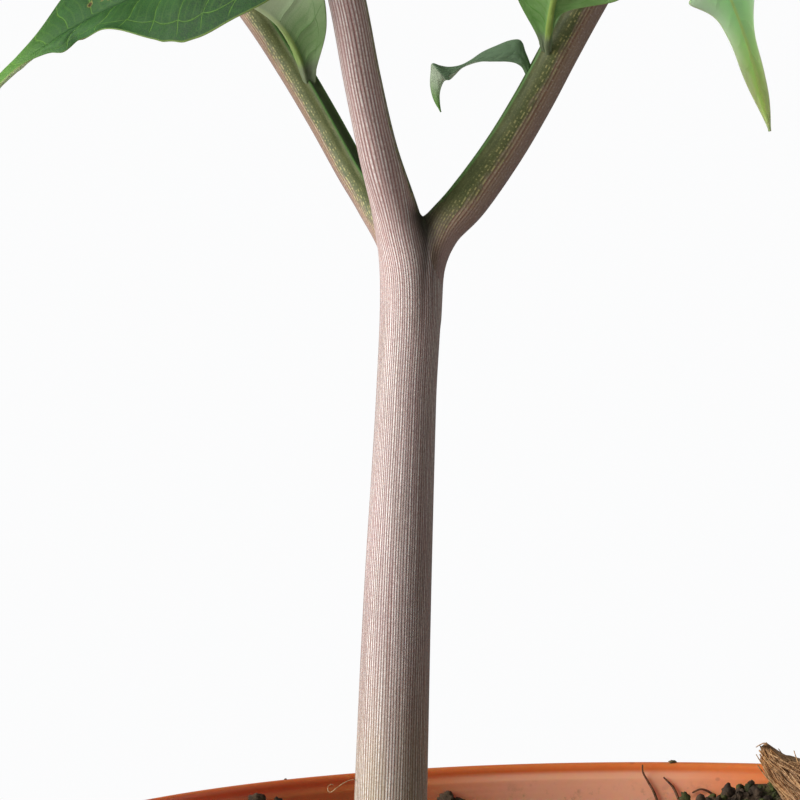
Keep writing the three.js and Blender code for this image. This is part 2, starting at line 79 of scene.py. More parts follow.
# Loose things on the soil: how far out they lie, on the bank also at which angles (mean and spread),
# how many there are, and the clods at chosen places, as (x, y, z, size, flatness).
SPOT_RANGE = 119
BANK_ANGLE = (72, 9)
BANK_RADIUS = (104, 120.5)
FULL_TURN = 6.3
LUMP_KINDS = 12
CRUMBS = 1300
BANK_CLODS = 170
CLODS = 90
MOSS_BITS = 120
CLOD_TOP = 188.5
PLACED_CLODS = [
    (-43, 113.5, 183.6, 4.2, 0.9), (-40, 114.5, 182.6, 3.4, 0.9), (-81, 88, 187.3, 3.4, 0.6),
    (-77, 92, 186.2, 2.6, 0.6), (5.2, 123.9, 190, 2.0, 0.4), (-75.6, 98.4, 189.9, 0.6, 0.5),
]
LOOSE_ROOTS = 26
ROOT_TOP = 186.5
ROOT_RANGE = 120
LOOSE_FIBRES = 70
FIBRE_RANGE = 118
# Roots up the pot's wall, as (x, z, distance off the wall), and the curled fibre by the petiole (x, y, z).
WALL_TOP = 187
WALL_ROOTS = [
    [(-1.4, 189.8, 0.6), (-1.3, 188.2, 0.5), (-0.2, 186.2, 0.5), (1.1, 183.8, 0.6), (2.4, 180, 0.8)],
    [(3, 187.2, 0.5), (4, 186.2, 0.5), (5.2, 184.8, 0.6), (6.4, 182, 0.8)],
    [(9, 184, 0.6), (11, 184.8, 0.9), (13.5, 183.5, 0.7), (15, 181, 0.8)],
]
PALE_CURL = [
    (-59.7, -0.8, 204.2), (-60.8, -3, 204.5), (-62, -4.2, 204.1), (-63.2, -4.6, 203.3), (-64, -4.6, 202.7),
    (-64.5, -4.5, 202.9), (-64.5, -4.4, 203.6), (-64, -4.3, 204), (-63.6, -4.2, 203.8),
]

# Husk: its left and right edge as [x, z], half its thickness, where it starts to thin out and over what
# height, its strands, and the routes of the stray fibres at its top as [x, y, z].
HUSK_LEFT = [[31, 165], [26, 178], [20, 189], [13.2, 200.5], [10, 204.5], [8.3, 210]]
HUSK_RIGHT = [[50, 163], [49, 178], [44, 191], [37, 201.5], [24, 205.8], [15.4, 207.4], [10.5, 210]]
HUSK_FOOT = 165
HUSK_TOP = 210
HUSK_DEPTH = 5.2
HUSK_SHOULDER = 186
HUSK_CROWN = 26
HUSK_GRID = (60, 72)
STRANDS = 760
STRAND_STEPS = 14
STRAY_FIBRES = [
    [[10.4, -0.5, 208.8], [9.6, -0.8, 210.4], [8.6, -1, 210.2], [7.9, -1.2, 209.8]],
    [[9.4, -1, 210], [10.4, -1.6, 209.4], [12, -2, 208], [14, -2.2, 206.6]],
    [[9.6, -3.4, 209.2], [13, -4, 207.4], [17, -4.4, 205], [22, -5, 201]],
    [[16.4, -3, 203], [15.4, -3.4, 206], [14.4, -3.6, 208.4], [14, -3.7, 209.6]],
    [[22, -3, 203], [24, -3.4, 206], [25.4, -3.6, 208.4], [27, -3.7, 209.6]],
]

# Leaf.
LEAFLET_SKEW = 0.03
LEAFLET_CUP = 0.24
OPEN_FOLD = 14
WAVE_HEIGHT = 1.3
WAVES = 2.4
WAVE_SPREAD = 2.4
MIDRIB_LEGS = (0.34, 0.33, 0.33)
WING_HEIGHT = 0.5
WING_ANGLE = 0.42
WING_SPREAD = 0.15
WING_START = 0.15
HOLLOW_SPREAD = 0.3
HOLLOW_SHARE = 0.5
SEAT_SHARE = 0.27
FIT_GAP = 0.3
STRIPES = 78
RACHIS_STRIPES = 5.3
MIDRIB_WIDTH = 0.36
MIDRIB_HEIGHT = 0.75
MIDRIB_LEAST = 0.12
LAMINA_THICKNESS = 0.42
MARGIN_THICKNESS = 0.16
LATERALS = 11
FOOT_STEPS = 7
FOOT_DEPTH = 2.2
FOOT_SLIDE = 1.4
FOOT_PLACE = 0.02
NODE_LINE = 0.7
LOOP_LINE = 0.05
CRINKLE = 0.16
PILLOW = 0.13
VEIN_DEPTH = 0.1
VEIN_WIDTH = 0.45
VEIN_LEAD = 0.06
RIB_GROOVE = 0.3
GROOVE_WIDTH = 0.55
USUAL_WIDTH = 26
TIP_START = 0.97
CURL_BULGE = 0.3
CLOSE_GRID = (150, 57)
FAR_GRID = (80, 29)
EDGE_CROWDING = 0.92
SPAN_SCALE = 0.1
FILLET = 1.8
# A rachis or branch starts thinner, by this share and over this part of its length.
ROOT_SHARE = 0.82
ROOT_LENGTH = 0.14
PLACE_STEP = 0.002
RING_STEP = 0.9
LENGTH_STEPS = 60
PETIOLE_START = 0.06
BRANCH_SIDES = 48
BRANCH_WINGED = 0.5
# The fold that runs down the petiole from the fork, as [x, y, z]; how far round its middle it goes, its depth
# and half-width, how many times wider its shade is, and how much it has faded at its lower end.
FORK_FOLD = [
    [-48.9, -1, 299.5], [-48.1, -3.2, 296.8], [-47.9, -4.2, 293.5], [-48.2, -4.4, 287], [-48.4, -4.5, 279],
]
FOLD_STEPS = 60
FOLD_REACH = 16
FOLD_DEPTH = 0.4
FOLD_SPREAD = 0.5
FOLD_SHADE = 4.2
FOLD_FADE = 0.97

# Half the width of a leaflet along its midrib, as a share of its widest half: [place, share].
LEAFLET_OUTLINE = [
    [0, 0.07], [0.06, 0.2], [0.16, 0.58], [0.29, 0.9], [0.42, 1], [0.55, 0.86],
    [0.66, 0.6], [0.75, 0.36], [0.84, 0.21], [0.92, 0.12], [1, 0.02],
]

# Centre lines as [x, y, z, radius] of the petiole, its rachises and their branches, with their heading, and
# with the number of sides and the place from which the wings grow where these aren't a branch's.
AXES = {
    "front": {"heading": 250, "sides": 120, "winged": 0.62, "line": [
        [-55.6, 0, 140, 6.4], [-54.8, 0, 172, 6.4], [-53.85, 0, 205, 6.15], [-52.8, 0, 236, 5.72],
        [-51.4, 0, 268, 5.13], [-50.7, 0, 288, 5.1], [-53, -2.5, 299.5, 4], [-56.1, -9, 310.3, 3.33],
        [-58.6, -16.6, 321.5, 3.1], [-60.9, -26, 333.3, 3], [-63.9, -37, 344.5, 2.9], [-67, -49, 353, 2.8]]},
    "left": {"heading": 134, "sides": 80, "winged": 0.2, "line": [
        [-50.9, 0.8, 284, 3.2], [-52.8, 3, 294, 3], [-57.3, 7.5, 302, 2.6], [-61, 12, 308.3, 2.57],
        [-65.9, 18, 317.3, 2.6], [-71.4, 24.5, 326.8, 2.65], [-77.4, 31, 336.3, 2.7], [-84, 38, 345, 2.6],
        [-92, 46, 353, 2.5]]},
    "right": {"heading": 6, "sides": 80, "winged": 0.2, "line": [
        [-49.2, 0, 283, 3.6], [-48.3, 0, 291.5, 3.6], [-45.6, 0.2, 297.4, 3.5], [-40.8, 0.5, 302.5, 3.5],
        [-34.7, 1.5, 311, 3.35], [-29.6, 2, 319.5, 3.25], [-25, 3, 328.1, 3.2], [-20.2, 4, 336.7, 3.15],
        [-14.5, 5.2, 346, 3], [-7.5, 6.6, 354.5, 2.8]]},
    "frontLeft": {"heading": 224, "line": [
        [-65.2, -42, 348.5, 2.4], [-72, -54, 356, 2.2], [-84, -65, 361, 1.9], [-98, -75, 362, 1.5]]},
    "frontRight": {"heading": 282, "line": [
        [-65.2, -42, 348.5, 2.4], [-65, -57, 358, 2.2], [-60, -73, 364, 1.9], [-55, -90, 366, 1.5]]},
    "leftFront": {"heading": 178, "line": [
        [-87, 41, 348, 2.2], [-100, 48, 357.5, 2], [-115, 50, 363, 1.75], [-130, 50, 364, 1.4]]},
    "leftBack": {"heading": 100, "line": [
        [-87, 41, 348, 2.2], [-94, 55, 359, 2], [-97, 70, 365, 1.75], [-99, 86, 367, 1.4]]},
    "rightFront": {"heading": 330, "line": [
        [-12, 5.8, 349.5, 2.5], [-1, 3, 359, 2.2], [12, -5, 364, 1.9], [26, -13, 365, 1.5]]},
    "rightBack": {"heading": 50, "line": [
        [-12, 5.8, 349.5, 2.5], [-3, 14, 360, 2.2], [7, 25, 366, 1.9], [17, 38, 368, 1.5]]},
}
# The forks: the centre, how far round it the skin is rounded, and the axes that meet there.
FORKS = [
    ((-50.0, 0.0, 298.0), 20.0, ("front", "left", "right")),
    ((-67.0, -48.0, 352.0), 13.0, ("front", "frontLeft", "frontRight")),
    ((-90.0, 45.0, 352.0), 13.0, ("left", "leftFront", "leftBack")),
    ((-8.0, 6.0, 353.0), 13.0, ("right", "rightFront", "rightBack")),
]
FORK_PASSES = 3
FORK_SHIFT = 0.9
FIELD_STEP = 0.05
FIELD_PLACES = 260
FIELD_BATCH = 4000

# Leaflets, in the order of the model: the axis and the place along it, the heading, its bend by the tip, the
# climb at base, middle and tip, the roll, the length and the width, and what differs from the usual:
# the kind, the twist, the fold of each side, the skew of the outline, the waves' number, phase and height,
# the midrib's height, and the lobes on one side as (place, size, spread).
LEAFLETS = {
    "leaflet_front_1": ("front", 0.887, 140, 20, (-10, -5, -44), -70, 73.8, 26.6,
                        {"twist": 26, "skew": 0.134, "waves": 2.6, "phase": -1.88,
                         "lobes": [(0.737, 1.3, 0.028), (0.69, -0.5, 0.014),
                                   (0.4, 0.25, 0.014), (0.34, 0.3, 0.02)]}),
    "leaflet_front_2": ("front", 0.93, 322, -12, (34, 4, -28), 18, 72, 26, {}),
    "leaflet_front_3": ("frontLeft", 0.42, 174, 8, (44, 0, -50), -18, 84, 29, {}),
    "leaflet_front_4": ("frontLeft", 0.72, 258, 2, (30, -2, -38), 12, 78, 26, {}),
    "leaflet_front_5": ("frontLeft", 1, 214, -6, (18, -16, -56), 0, 94, 33, {}),
    "leaflet_front_6": ("frontRight", 0.4, 336, -10, (32, -4, -44), 16, 82, 28, {}),
    "leaflet_front_7": ("frontRight", 0.76, 246, 8, (38, 6, -34), -10, 70, 24, {}),
    "leaflet_front_8": ("frontRight", 1, 292, 8, (16, -16, -52), 0, 92, 32, {}),
    "leaflet_left_1": ("left", 0.581, 205.5, -21, (72, -15, -13), 59, 57.4, 23.3,
                       {"fold": (8, 96), "skew": 0.054, "phase": -0.09, "lobes": [(0.3, 1.4, 0.15)]}),
    "leaflet_left_2": ("left", 0.9, 208, -8, (30, 0, -44), -14, 76, 26, {}),
    "leaflet_left_3": ("leftFront", 0.42, 226, -8, (36, 4, -44), 16, 82, 28, {}),
    "leaflet_left_4": ("leftFront", 0.72, 146, 4, (34, 2, -38), 10, 76, 26, {}),
    "leaflet_left_5": ("leftFront", 1, 188, 4, (18, -18, -56), 0, 94, 33, {}),
    "leaflet_left_6": ("leftBack", 0.4, 46, 8, (34, 2, -36), -16, 82, 28, {}),
    "leaflet_left_7": ("leftBack", 0.76, 134, -6, (38, 8, -28), -10, 72, 24, {}),
    "leaflet_left_8": ("leftBack", 1, 90, -6, (18, -14, -42.5), 0, 92, 32, {}),
    "leaflet_right_1": ("right", 0.612, 182, 0, (75, -17, -88), 80, 27, 7.5,
                        {"kind": "curled", "rib": 0.35}),
    "leaflet_right_2": ("right", 0.656, 277, 10, (62, -9, -12), -17, 54.6, 25.4,
                        {"kind": "lush", "fold": (14, 30), "skew": -0.038, "phase": -0.155, "wave": 1.5,
                         "lobes": [(0.12, -1.5, 0.07)]}),
    "leaflet_right_3": ("right", 0.906, 44, -42, (30, -70, -76), 57, 65.6, 24.4,
                        {"kind": "young", "skew": 0, "phase": -1.08, "wave": 1.44}),
    "leaflet_right_4": ("rightFront", 0.43, 276, 8, (34, 2, -38), -16, 78, 27, {}),
    "leaflet_right_5": ("rightFront", 0.72, 4, -4, (34, 2, -36), 10, 74, 26, {}),
    "leaflet_right_6": ("rightFront", 1, 320, 0, (18, -18, -56), 0, 92, 33, {}),
    "leaflet_right_7": ("rightBack", 0.42, 112, -8, (34, 4, -36), 16, 82, 27, {}),
    "leaflet_right_8": ("rightBack", 0.76, 20, 2, (40, 8, -30), -10, 72, 24, {}),
    "leaflet_right_9": ("rightBack", 1, 60, 4, (18, -14, -48), 0, 92, 32, {}),
}
# The curled leaflet from foot to tip: the x and z of its upper edge and of its lower edge, and the y of both.
CURLED = [
    [-30.1, 324.9, -31.1, 323.8, 1.5, 1.5], [-30.6, 326.4, -31.6, 324.8, 1.8, 1.3],
    [-31.2, 327.9, -32.1, 325.3, 2, 1.1], [-31.6, 329.2, -33, 325.75, 2.2, 1],
    [-32.3, 329.8, -34.3, 325.95, 2.3, 0.9], [-33.9, 329.6, -35.6, 325.95, 2.3, 0.8],
    [-36, 328.75, -37.1, 325.95, 2.1, 0.9], [-38.4, 327.65, -38.6, 325.95, 1.9, 1],
    [-40.4, 326.3, -40.3, 325.55, 1.6, 1.2], [-42.2, 325.4, -41.9, 324.85, 1.5, 1.3],
    [-44.1, 325.1, -43.1, 323.7, 1.6, 1.3], [-45.7, 325.35, -43.9, 322.95, 1.6, 1.2],
    [-46.95, 325.65, -44.5, 322.85, 1.4, 1.2], [-47.15, 324.3, -44.95, 322.6, 2.4, 1.2],
    [-47.25, 322.6, -45.4, 321.6, 2.6, 1.2], [-47.1, 321.2, -45.65, 320.4, 2.5, 1.4],
    [-46.6, 319.5, -45.6, 319, 2.3, 1.6], [-45.5, 317.5, -45.4, 317.5, 2, 1.9],
]
# Where leaflets are gnawed or dried: (place, share of the half-width, spread along, spread across).
BLEMISHES = {
    "leaflet_front_1": [
        (0.637, -0.22, 0.011, 0.05), (0.628, -0.33, 0.008, 0.04), (0.6, -0.16, 0.008, 0.02),
        (0.58, -0.13, 0.006, 0.016), (0.563, -0.1, 0.006, 0.014), (0.54, -0.08, 0.006, 0.014),
        (0.67, 1.0, 0.02, 0.05),
    ],
    "leaflet_left_1": [(0.42, 0.98, 0.03, 0.05)],
    "leaflet_front_5": [(0.62, 0.7, 0.03, 0.12)],
    "leaflet_left_8": [(0.55, -0.8, 0.03, 0.12)],
}
# The skin's two colours low on the petiole, in its middle, at the fork and on the rachises; the fork's lighter
# colour is partly painted light.
STEM_COLOURS = [
    ((166, 158, 112), (176, 162, 144)), ((156, 130, 128), (146, 128, 122)),
    ((177, 145, 141), (163, 135, 131)), ((156, 132, 116), (140, 116, 108)),
]
# The shades of a blade's faces: its green twice, its mottling, its veins and its midrib.
BLADE_COLOURS = {
    "upper": [(22, 52, 22), (36, 72, 32), (50, 88, 42), (88, 126, 46), (26, 56, 24)],
    "under": [(130, 156, 108), (157, 175, 138), (112, 142, 92), (88, 134, 68), (150, 168, 100)],
    "lush": [(92, 134, 70), (126, 160, 98), (76, 120, 54), (74, 132, 44), (144, 166, 84)],
}
# How much light goes through each kind of blade, and how far it spreads (metres).
BLADE_GLOW = {"grown": (0.25, 0.001), "lush": (0.3, 0.001), "young": (0.85, 0.0025), "curled": (0.0, 0.001)}
CLOSE_LEAFLETS = (
    "leaflet_front_1", "leaflet_left_1", "leaflet_right_1", "leaflet_right_2", "leaflet_right_3",
)

# The dark, the middle and the light colour of each kind of fibre.
FIBRE_COLOURS = {
    "root_dark": [(60, 38, 26), (92, 62, 44), (120, 84, 60)],
    "root_pale": [(150, 120, 80), (196, 166, 120), (222, 200, 160)],
    "husk_body": [(92, 62, 36), (160, 122, 84), (190, 160, 128)],
    "husk_strand": [(140, 94, 54), (206, 154, 98), (226, 188, 144)],
    "husk_fibre": [(100, 66, 38), (176, 124, 76), (204, 166, 128)],
}

# Stage: the floor; in metres, the lights as (name, place, target, size, power, colour) and the camera.
FLOOR_RADIUS = 1150
FLOOR_TOP = -0.1
FLOOR_BOTTOM = -3.1
FLOOR_SIDES = 96
LIGHTS = [
    ("window", (-1.5, -0.55, 0.75), (-0.05, 0, 0.27), (1.1, 1.3), 50, (1.0, 0.985, 0.975)),
    ("fill", (1.4, 0.9, 0.8), (-0.05, 0, 0.27), (1.2, 1.2), 2.4, (1.0, 0.97, 0.93)),
    ("reflector", (0.45, -1.75, 0.13), (0, 0.12, 0.185), (1.1, 0.16), 2, (1.0, 0.99, 0.98)),
]
BACKDROP_COLOUR = (0.972, 0.974, 0.978, 1)
SKY_COLOUR = (1.0, 0.975, 0.94, 1)
SKY_STRENGTH = 0.14
CAMERA_PLACE = (-0.0524, -0.5083, 0.2775)
CAMERA_TILT = 89
CAMERA_LENS = 135
CAMERA_SENSOR = 36


# Small mathematics

def lerp(low, high, share):
    return low + (high - low) * share


def smooth(value, low, high):
    share = np.clip((value - low) / (high - low), 0, 1)
    return share * share * (3 - 2 * share)


def unit(vectors):
    return vectors / np.linalg.norm(vectors, axis=-1, keepdims=True)


def along(rows, place):
    """The smooth curve through rows of numbers, at places from 0 to 1."""
    rows = np.array(rows, float)
    place = np.atleast_1d(np.asarray(place, float))
    span = len(rows) - 1
    whole = np.minimum((place * span).astype(int), span - 1)
    part = (place * span - whole)[:, None]
    a, b, c, d = (rows[np.clip(whole + shift, 0, span)] for shift in (-1, 0, 1, 2))
    slope, bend, turn = c - a, 2 * a - 5 * b + 4 * c - d, 3 * b - a - 3 * c + d
    return b + 0.5 * part * (slope + part * (bend + part * turn))


def outline_share(place):
    """The leaflet's half-width share, smooth between the rows of its outline."""
    knots = np.array(LEAFLET_OUTLINE)
    place = np.clip(place, 0, 1)
    i = np.clip(np.searchsorted(knots[:, 0], place) - 1, 0, len(knots) - 2)
    numbers = np.arange(len(knots))
    before = np.maximum(numbers - 1, 0)
    after = np.minimum(numbers + 1, len(knots) - 1)
    slopes = (knots[after, 1] - knots[before, 1]) / (knots[after, 0] - knots[before, 0])
    step = knots[i + 1, 0] - knots[i, 0]
    s = (place - knots[i, 0]) / step
    level = lerp(knots[i, 1], knots[i + 1, 1], s * s * (3 - 2 * s))
    return level + s * (1 - s) ** 2 * step * slopes[i] + s * s * (s - 1) * step * slopes[i + 1]


def direction(heading, climb):
    """Unit vectors from a compass heading (from +X towards +Y) and a climb, in degrees."""
    h, c = np.radians(heading), np.radians(climb)
    return np.stack([np.cos(c) * np.cos(h), np.cos(c) * np.sin(h), np.sin(c) + 0 * h], -1)


def frame_at(tangent, heading, roll):
    """The side and upper directions of a blade or an axis along a tangent, leaning to a heading."""
    level = direction(heading + 90, 0 * heading)
    side = unit(level - tangent * np.sum(level * tangent, -1, keepdims=True))
    upper = np.cross(tangent, side)
    c, s = np.cos(np.radians(roll))[..., None], np.sin(np.radians(roll))[..., None]
    return side * c + upper * s, upper * c - side * s


def axis_at(axis, place):
    """Centres, radii and tangents of an axis of the leaf."""
    rows = along(axis["line"], place)
    if axis["heading"] != AXES["front"]["heading"]:
        rows[:, 3] *= lerp(ROOT_SHARE, 1, smooth(np.asarray(place), 0.0, ROOT_LENGTH))
    ahead = along(axis["line"], np.minimum(place + PLACE_STEP, 1))
    behind = along(axis["line"], np.maximum(place - PLACE_STEP, 0))
    return rows[:, :3], rows[:, 3], unit(ahead[:, :3] - behind[:, :3])


def axis_radius(radius, angle, wing):
    """How far an axis stands out at an angle from its upper side: two wings edge a hollow upper face."""
    off = np.abs(np.arctan2(np.sin(angle), np.cos(angle)))
    edge = np.exp(-(((off - WING_ANGLE) / WING_SPREAD) ** 2))
    hollow = np.exp(-((off / HOLLOW_SPREAD) ** 2))
    return radius + wing * WING_HEIGHT * (edge - HOLLOW_SHARE * hollow)


def round_point(radius, angle):
    """The x and y of a point at an angle round the upright axis."""
    return radius * math.cos(angle), radius * math.sin(angle)


# Meshes

def grid(rows, columns, wrap=False, flip=False):
    """The corners of a grid's quads as (row, column); the last column of a wrapped grid joins the first."""
    i, j = np.meshgrid(np.arange(rows - 1), np.arange(columns - (not wrap)), indexing="ij")
    order = ((0, 0), (1, 0), (1, 1), (0, 1))
    corners = [(i + down, j + across) for down, across in (order[::-1] if flip else order)]
    return tuple(np.stack([corner[k] for corner in corners], -1).reshape(-1, 4) for k in (0, 1))


def ring_quads(rings, sides, flip=False):
    """The quads between closed rings of points."""
    row, column = grid(rings, sides, wrap=True, flip=flip)
    return row * sides + column % sides


def closed_faces(rings, sides, flip=False):
    """The quads between closed rings of points, and the fans from the end rings to two last points."""
    faces = ring_quads(rings, sides, flip).tolist()
    top = (rings - 1) * sides
    for k in range(sides):
        pair = (k, (k + 1) % sides)
        a, b = pair[::-1] if flip else pair
        faces += [[rings * sides, a, b], [rings * sides + 1, top + b, top + a]]
    return faces


def end_caps(rings, sides):
    """The two faces that close the first and the last ring."""
    return [list(range(sides)), list(range((rings - 1) * sides, rings * sides))[::-1]]


def mesh_piece(name, vertices, faces, layers=None, materials=(), slots=None, smooth_faces=True):
    """A mesh object from vertices in millimetres, faces, UV layers by corner and material slots by face."""
    mesh = bpy.data.meshes.new(name)
    points = [tuple(v) for v in np.asarray(vertices) * MM]
    mesh.from_pydata(points, [], [tuple(int(k) for k in face) for face in faces])
    for layer, values in (layers or {}).items():
        mesh.uv_layers.new(name=layer).data.foreach_set("uv", np.asarray(values, np.float32).ravel())
    for material in materials:
        mesh.materials.append(material)
    if slots is not None:
        mesh.polygons.foreach_set("material_index", np.asarray(slots, np.int32))
    mesh.polygons.foreach_set("use_smooth", np.full(len(mesh.polygons), smooth_faces))
    mesh.validate()
    piece = bpy.data.objects.new(name, mesh)
    bpy.context.scene.collection.objects.link(piece)
    return piece


def settle(piece, slot, *nodes):
    """The piece rides on the only body and stands for its nodes, which are hidden. The slot is not used."""
    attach(piece, "root")
    if nodes:
        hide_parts(*nodes)


def combine(piece, kind, other):
    """Joins another solid to a piece or cuts it away, and removes the other."""
    modifier = piece.modifiers.new("combine", "BOOLEAN")
    modifier.operation = kind
    modifier.solver = "MANIFOLD"
    modifier.object = other
    with bpy.context.temp_override(object=piece, active_object=piece):
        bpy.ops.object.modifier_apply(modifier=modifier.name)
    bpy.data.objects.remove(other)


def dress(piece, material):
    """One material for the whole piece, smooth all over."""
    mesh = piece.data
    mesh.materials.clear()
    mesh.materials.append(material)
    mesh.polygons.foreach_set("material_index", np.zeros(len(mesh.polygons), np.int32))
    mesh.polygons.foreach_set("use_smooth", np.full(len(mesh.polygons), True))


def tube(path, radii, sides):
    """Vertices and quads of a capless round tube along a path, for fibres and roots."""
    path = np.asarray(path, float)
    tangent = unit(np.gradient(path, axis=0))
    side = unit(np.cross(tangent, [0.31, 0.17, 0.93]))
    upper = np.cross(side, tangent)
    angle = np.linspace(0, 2 * math.pi, sides, endpoint=False)[None, :, None]
    ring = side[:, None] * np.cos(angle) + upper[:, None] * np.sin(angle)
    vertices = (path[:, None] + ring * np.asarray(radii, float)[:, None, None]).reshape(-1, 3)
    return vertices, ring_quads(len(path), sides, flip=True)


def join(parts):
    """One list of vertices and one of faces from several (vertices, faces)."""
    vertices, faces, count = [], [], 0
    for points, quads in parts:
        vertices.append(points)
        faces += [[int(k) + count for k in quad] for quad in quads]
        count += len(points)
    return np.concatenate(vertices), faces


# Materials

class Paint:
    """A material whose nodes are written as expressions."""

    def __init__(self, name):
        self.material = bpy.data.materials.new(name)
        self.material.use_nodes = True
        self.tree = self.material.node_tree
        self.tree.nodes.clear()

    def add(self, kind, inputs=None, **settings):
        node = self.tree.nodes.new("ShaderNode" + kind)
        for key, value in settings.items():
            setattr(node, key, value)
        for key, value in (inputs or {}).items():
            if isinstance(value, bpy.types.NodeSocket):
                self.tree.links.new(value, node.inputs[key])
            else:
                node.inputs[key].default_value = value
        return node

    def uv(self, layer):
        return self.add("UVMap", uv_map=layer).outputs["UV"]

    def place(self):
        return self.add("TexCoord").outputs["Object"]

    def parts(self, vector):
        return self.add("SeparateXYZ", {0: vector}).outputs

    def vector(self, x, y, z=0.0):
        return self.add("CombineXYZ", {0: x, 1: y, 2: z}).outputs[0]

    def math(self, kind, first, second=0.0, third=0.0):
        return self.add("Math", {0: first, 1: second, 2: third}, operation=kind).outputs[0]

    def times(self, first, second):
        return self.math("MULTIPLY", first, second)

    def plus(self, first, second):
        return self.math("ADD", first, second)

    def less(self, first, second):
        return self.math("SUBTRACT", first, second)

    def size(self, value):
        return self.math("ABSOLUTE", value)

    def step(self, value, low, high, start=0.0, end=1.0):
        inputs = {0: value, 1: low, 2: high, 3: start, 4: end}
        return self.add("MapRange", inputs, interpolation_type="SMOOTHSTEP").outputs[0]

    def noise(self, vector, scale, detail=2.0, rough=0.5):
        inputs = {"Vector": vector, "Scale": scale, "Detail": detail, "Roughness": rough}
        return self.add("TexNoise", inputs).outputs["Fac"]

    def streaks(self, across, length, detail=2.0, rough=0.5):
        """Noise drawn out along a piece, from a value and its rate across and a value and its rate along."""
        return self.noise(self.vector(self.times(*across), self.times(*length)), 1.0, detail, rough)

    def cells(self, vector, scale, feature="F1"):
        return self.add("TexVoronoi", {"Vector": vector, "Scale": scale}, feature=feature).outputs["Distance"]

    def chance(self, value):
        return self.add("TexWhiteNoise", {"W": value}, noise_dimensions="1D").outputs["Value"]

    def mix(self, share, first, second):
        return self.add("Mix", {0: share, 6: first, 7: second}, data_type="RGBA").outputs[2]

    def over(self, skin, mask, share, colour):
        """A colour laid over the skin, as far as a share of the mask lets it."""
        return self.mix(self.times(mask, share), skin, tint(*colour))

    def line(self, distance, core, edge):
        """1 on a line and 0 beyond its edge."""
        return self.step(distance, core, edge, 1.0, 0.0)

    def bump(self, height, strength, distance, under=None):
        inputs = {"Height": height, "Strength": strength, "Distance": distance}
        if under is not None:
            inputs["Normal"] = under
        return self.add("Bump", inputs).outputs[0]

    def finish(self, colour, rough, normal=None, specular=0.5, glow=None):
        """The shader. Its glow is the weight, the reach by colour and the scale of the light inside."""
        inputs = {"Base Color": colour, "Roughness": rough, "Specular IOR Level": specular}
        if normal is not None:
            inputs["Normal"] = normal
        if glow is not None:
            inputs.update(zip(("Subsurface Weight", "Subsurface Radius", "Subsurface Scale"), glow))
        shader = self.add("BsdfPrincipled", inputs)
        output = self.add("OutputMaterial")
        self.tree.links.new(shader.outputs[0], output.inputs[0])
        return self.material


def tint(red, green, blue):
    """A node colour from the three display values from 0 to 255."""
    def linear(value):
        share = value / 255
        return share / 12.92 if share <= 0.04045 else ((share + 0.055) / 1.055) ** 2.4
    return (linear(red), linear(green), linear(blue), 1.0)


def stem_stripes(p, across, length, line_fade):
    """Stripes: their number, the distance off their middle, the pale line, the groove and how red that is."""
    shake = p.streaks((across, 0.25), (length, 0.03))
    wobbly = p.math("MULTIPLY_ADD", shake, 1.2, across)
    stripe = p.math("FLOOR", wobbly)
    centre = p.size(p.less(p.math("FRACT", wobbly), 0.5))
    slow = p.streaks((stripe, 3.7), (length, 0.05), 3.0, 0.6)
    dashes = p.streaks((stripe, 7.3), (length, 1.3), 2.0, 0.6)
    luck = p.plus(slow, p.times(p.chance(stripe), 0.3))
    pale = p.times(p.line(centre, 0.08, 0.32), p.step(luck, 0.4, 0.85, 0.3, 1.0))
    pale = p.times(pale, p.step(dashes, 0.3, 0.6, 0.4, 1.0))
    pale = p.times(pale, p.less(1.0, line_fade))
    groove = p.line(p.less(0.5, centre), 0.02, 0.18)
    seldom = p.streaks((stripe, 2.3), (length, 0.03))
    red = p.times(groove, p.step(seldom, 0.42, 0.66, 0.5, 1.0))
    return stripe, centre, pale, groove, p.times(red, p.less(1.0, line_fade))


def stem_ground(p, across, length, off, rise, branch):
    """The skin's colour between the lines: olive low down, mauve above, and dusty brown on the rachises."""
    patch = p.streaks((across, 0.16), (length, 0.035), 3.0, 0.55)
    share = p.step(patch, 0.35, 0.7)
    low, middle, high, dusty = (p.mix(share, tint(*first), tint(*second)) for first, second in STEM_COLOURS)
    ground = p.mix(p.step(rise, 175.0, 235.0), low, middle)
    # Lighter at the fork: partly the skin's own tone and partly painted light.
    ground = p.mix(p.step(rise, 272.0, 306.0), ground, high)
    ground = p.mix(p.times(branch, p.step(rise, 288.0, 305.0)), ground, dusty)
    ochre = p.line(p.size(p.less(off, 0.56)), 0.02, 0.12)
    ground = p.over(ground, p.times(ochre, branch), 0.5, (134, 104, 66))
    band = p.streaks((across, 0.35), (length, 0.02))
    return p.mix(p.step(band, 0.52, 0.7, 0.0, 0.35), ground, tint(124, 88, 78))


def rachis_rind(p, ragged, specks, off):
    """The green upper side of a rachis, with its bright wings and the dark hollow between them."""
    rind = p.mix(p.step(ragged, 0.35, 0.7), tint(80, 88, 48), tint(101, 105, 62))
    rind = p.mix(p.step(specks, 0.5, 0.7, 0.0, 0.3), rind, tint(136, 142, 92))
    wing = p.line(p.size(p.less(off, WING_ANGLE / math.pi)), 0.012, 0.045)
    rind = p.over(rind, wing, 0.8, (92, 140, 70))
    return p.over(rind, p.step(off, 0.13, 0.09), 0.7, (66, 90, 48))


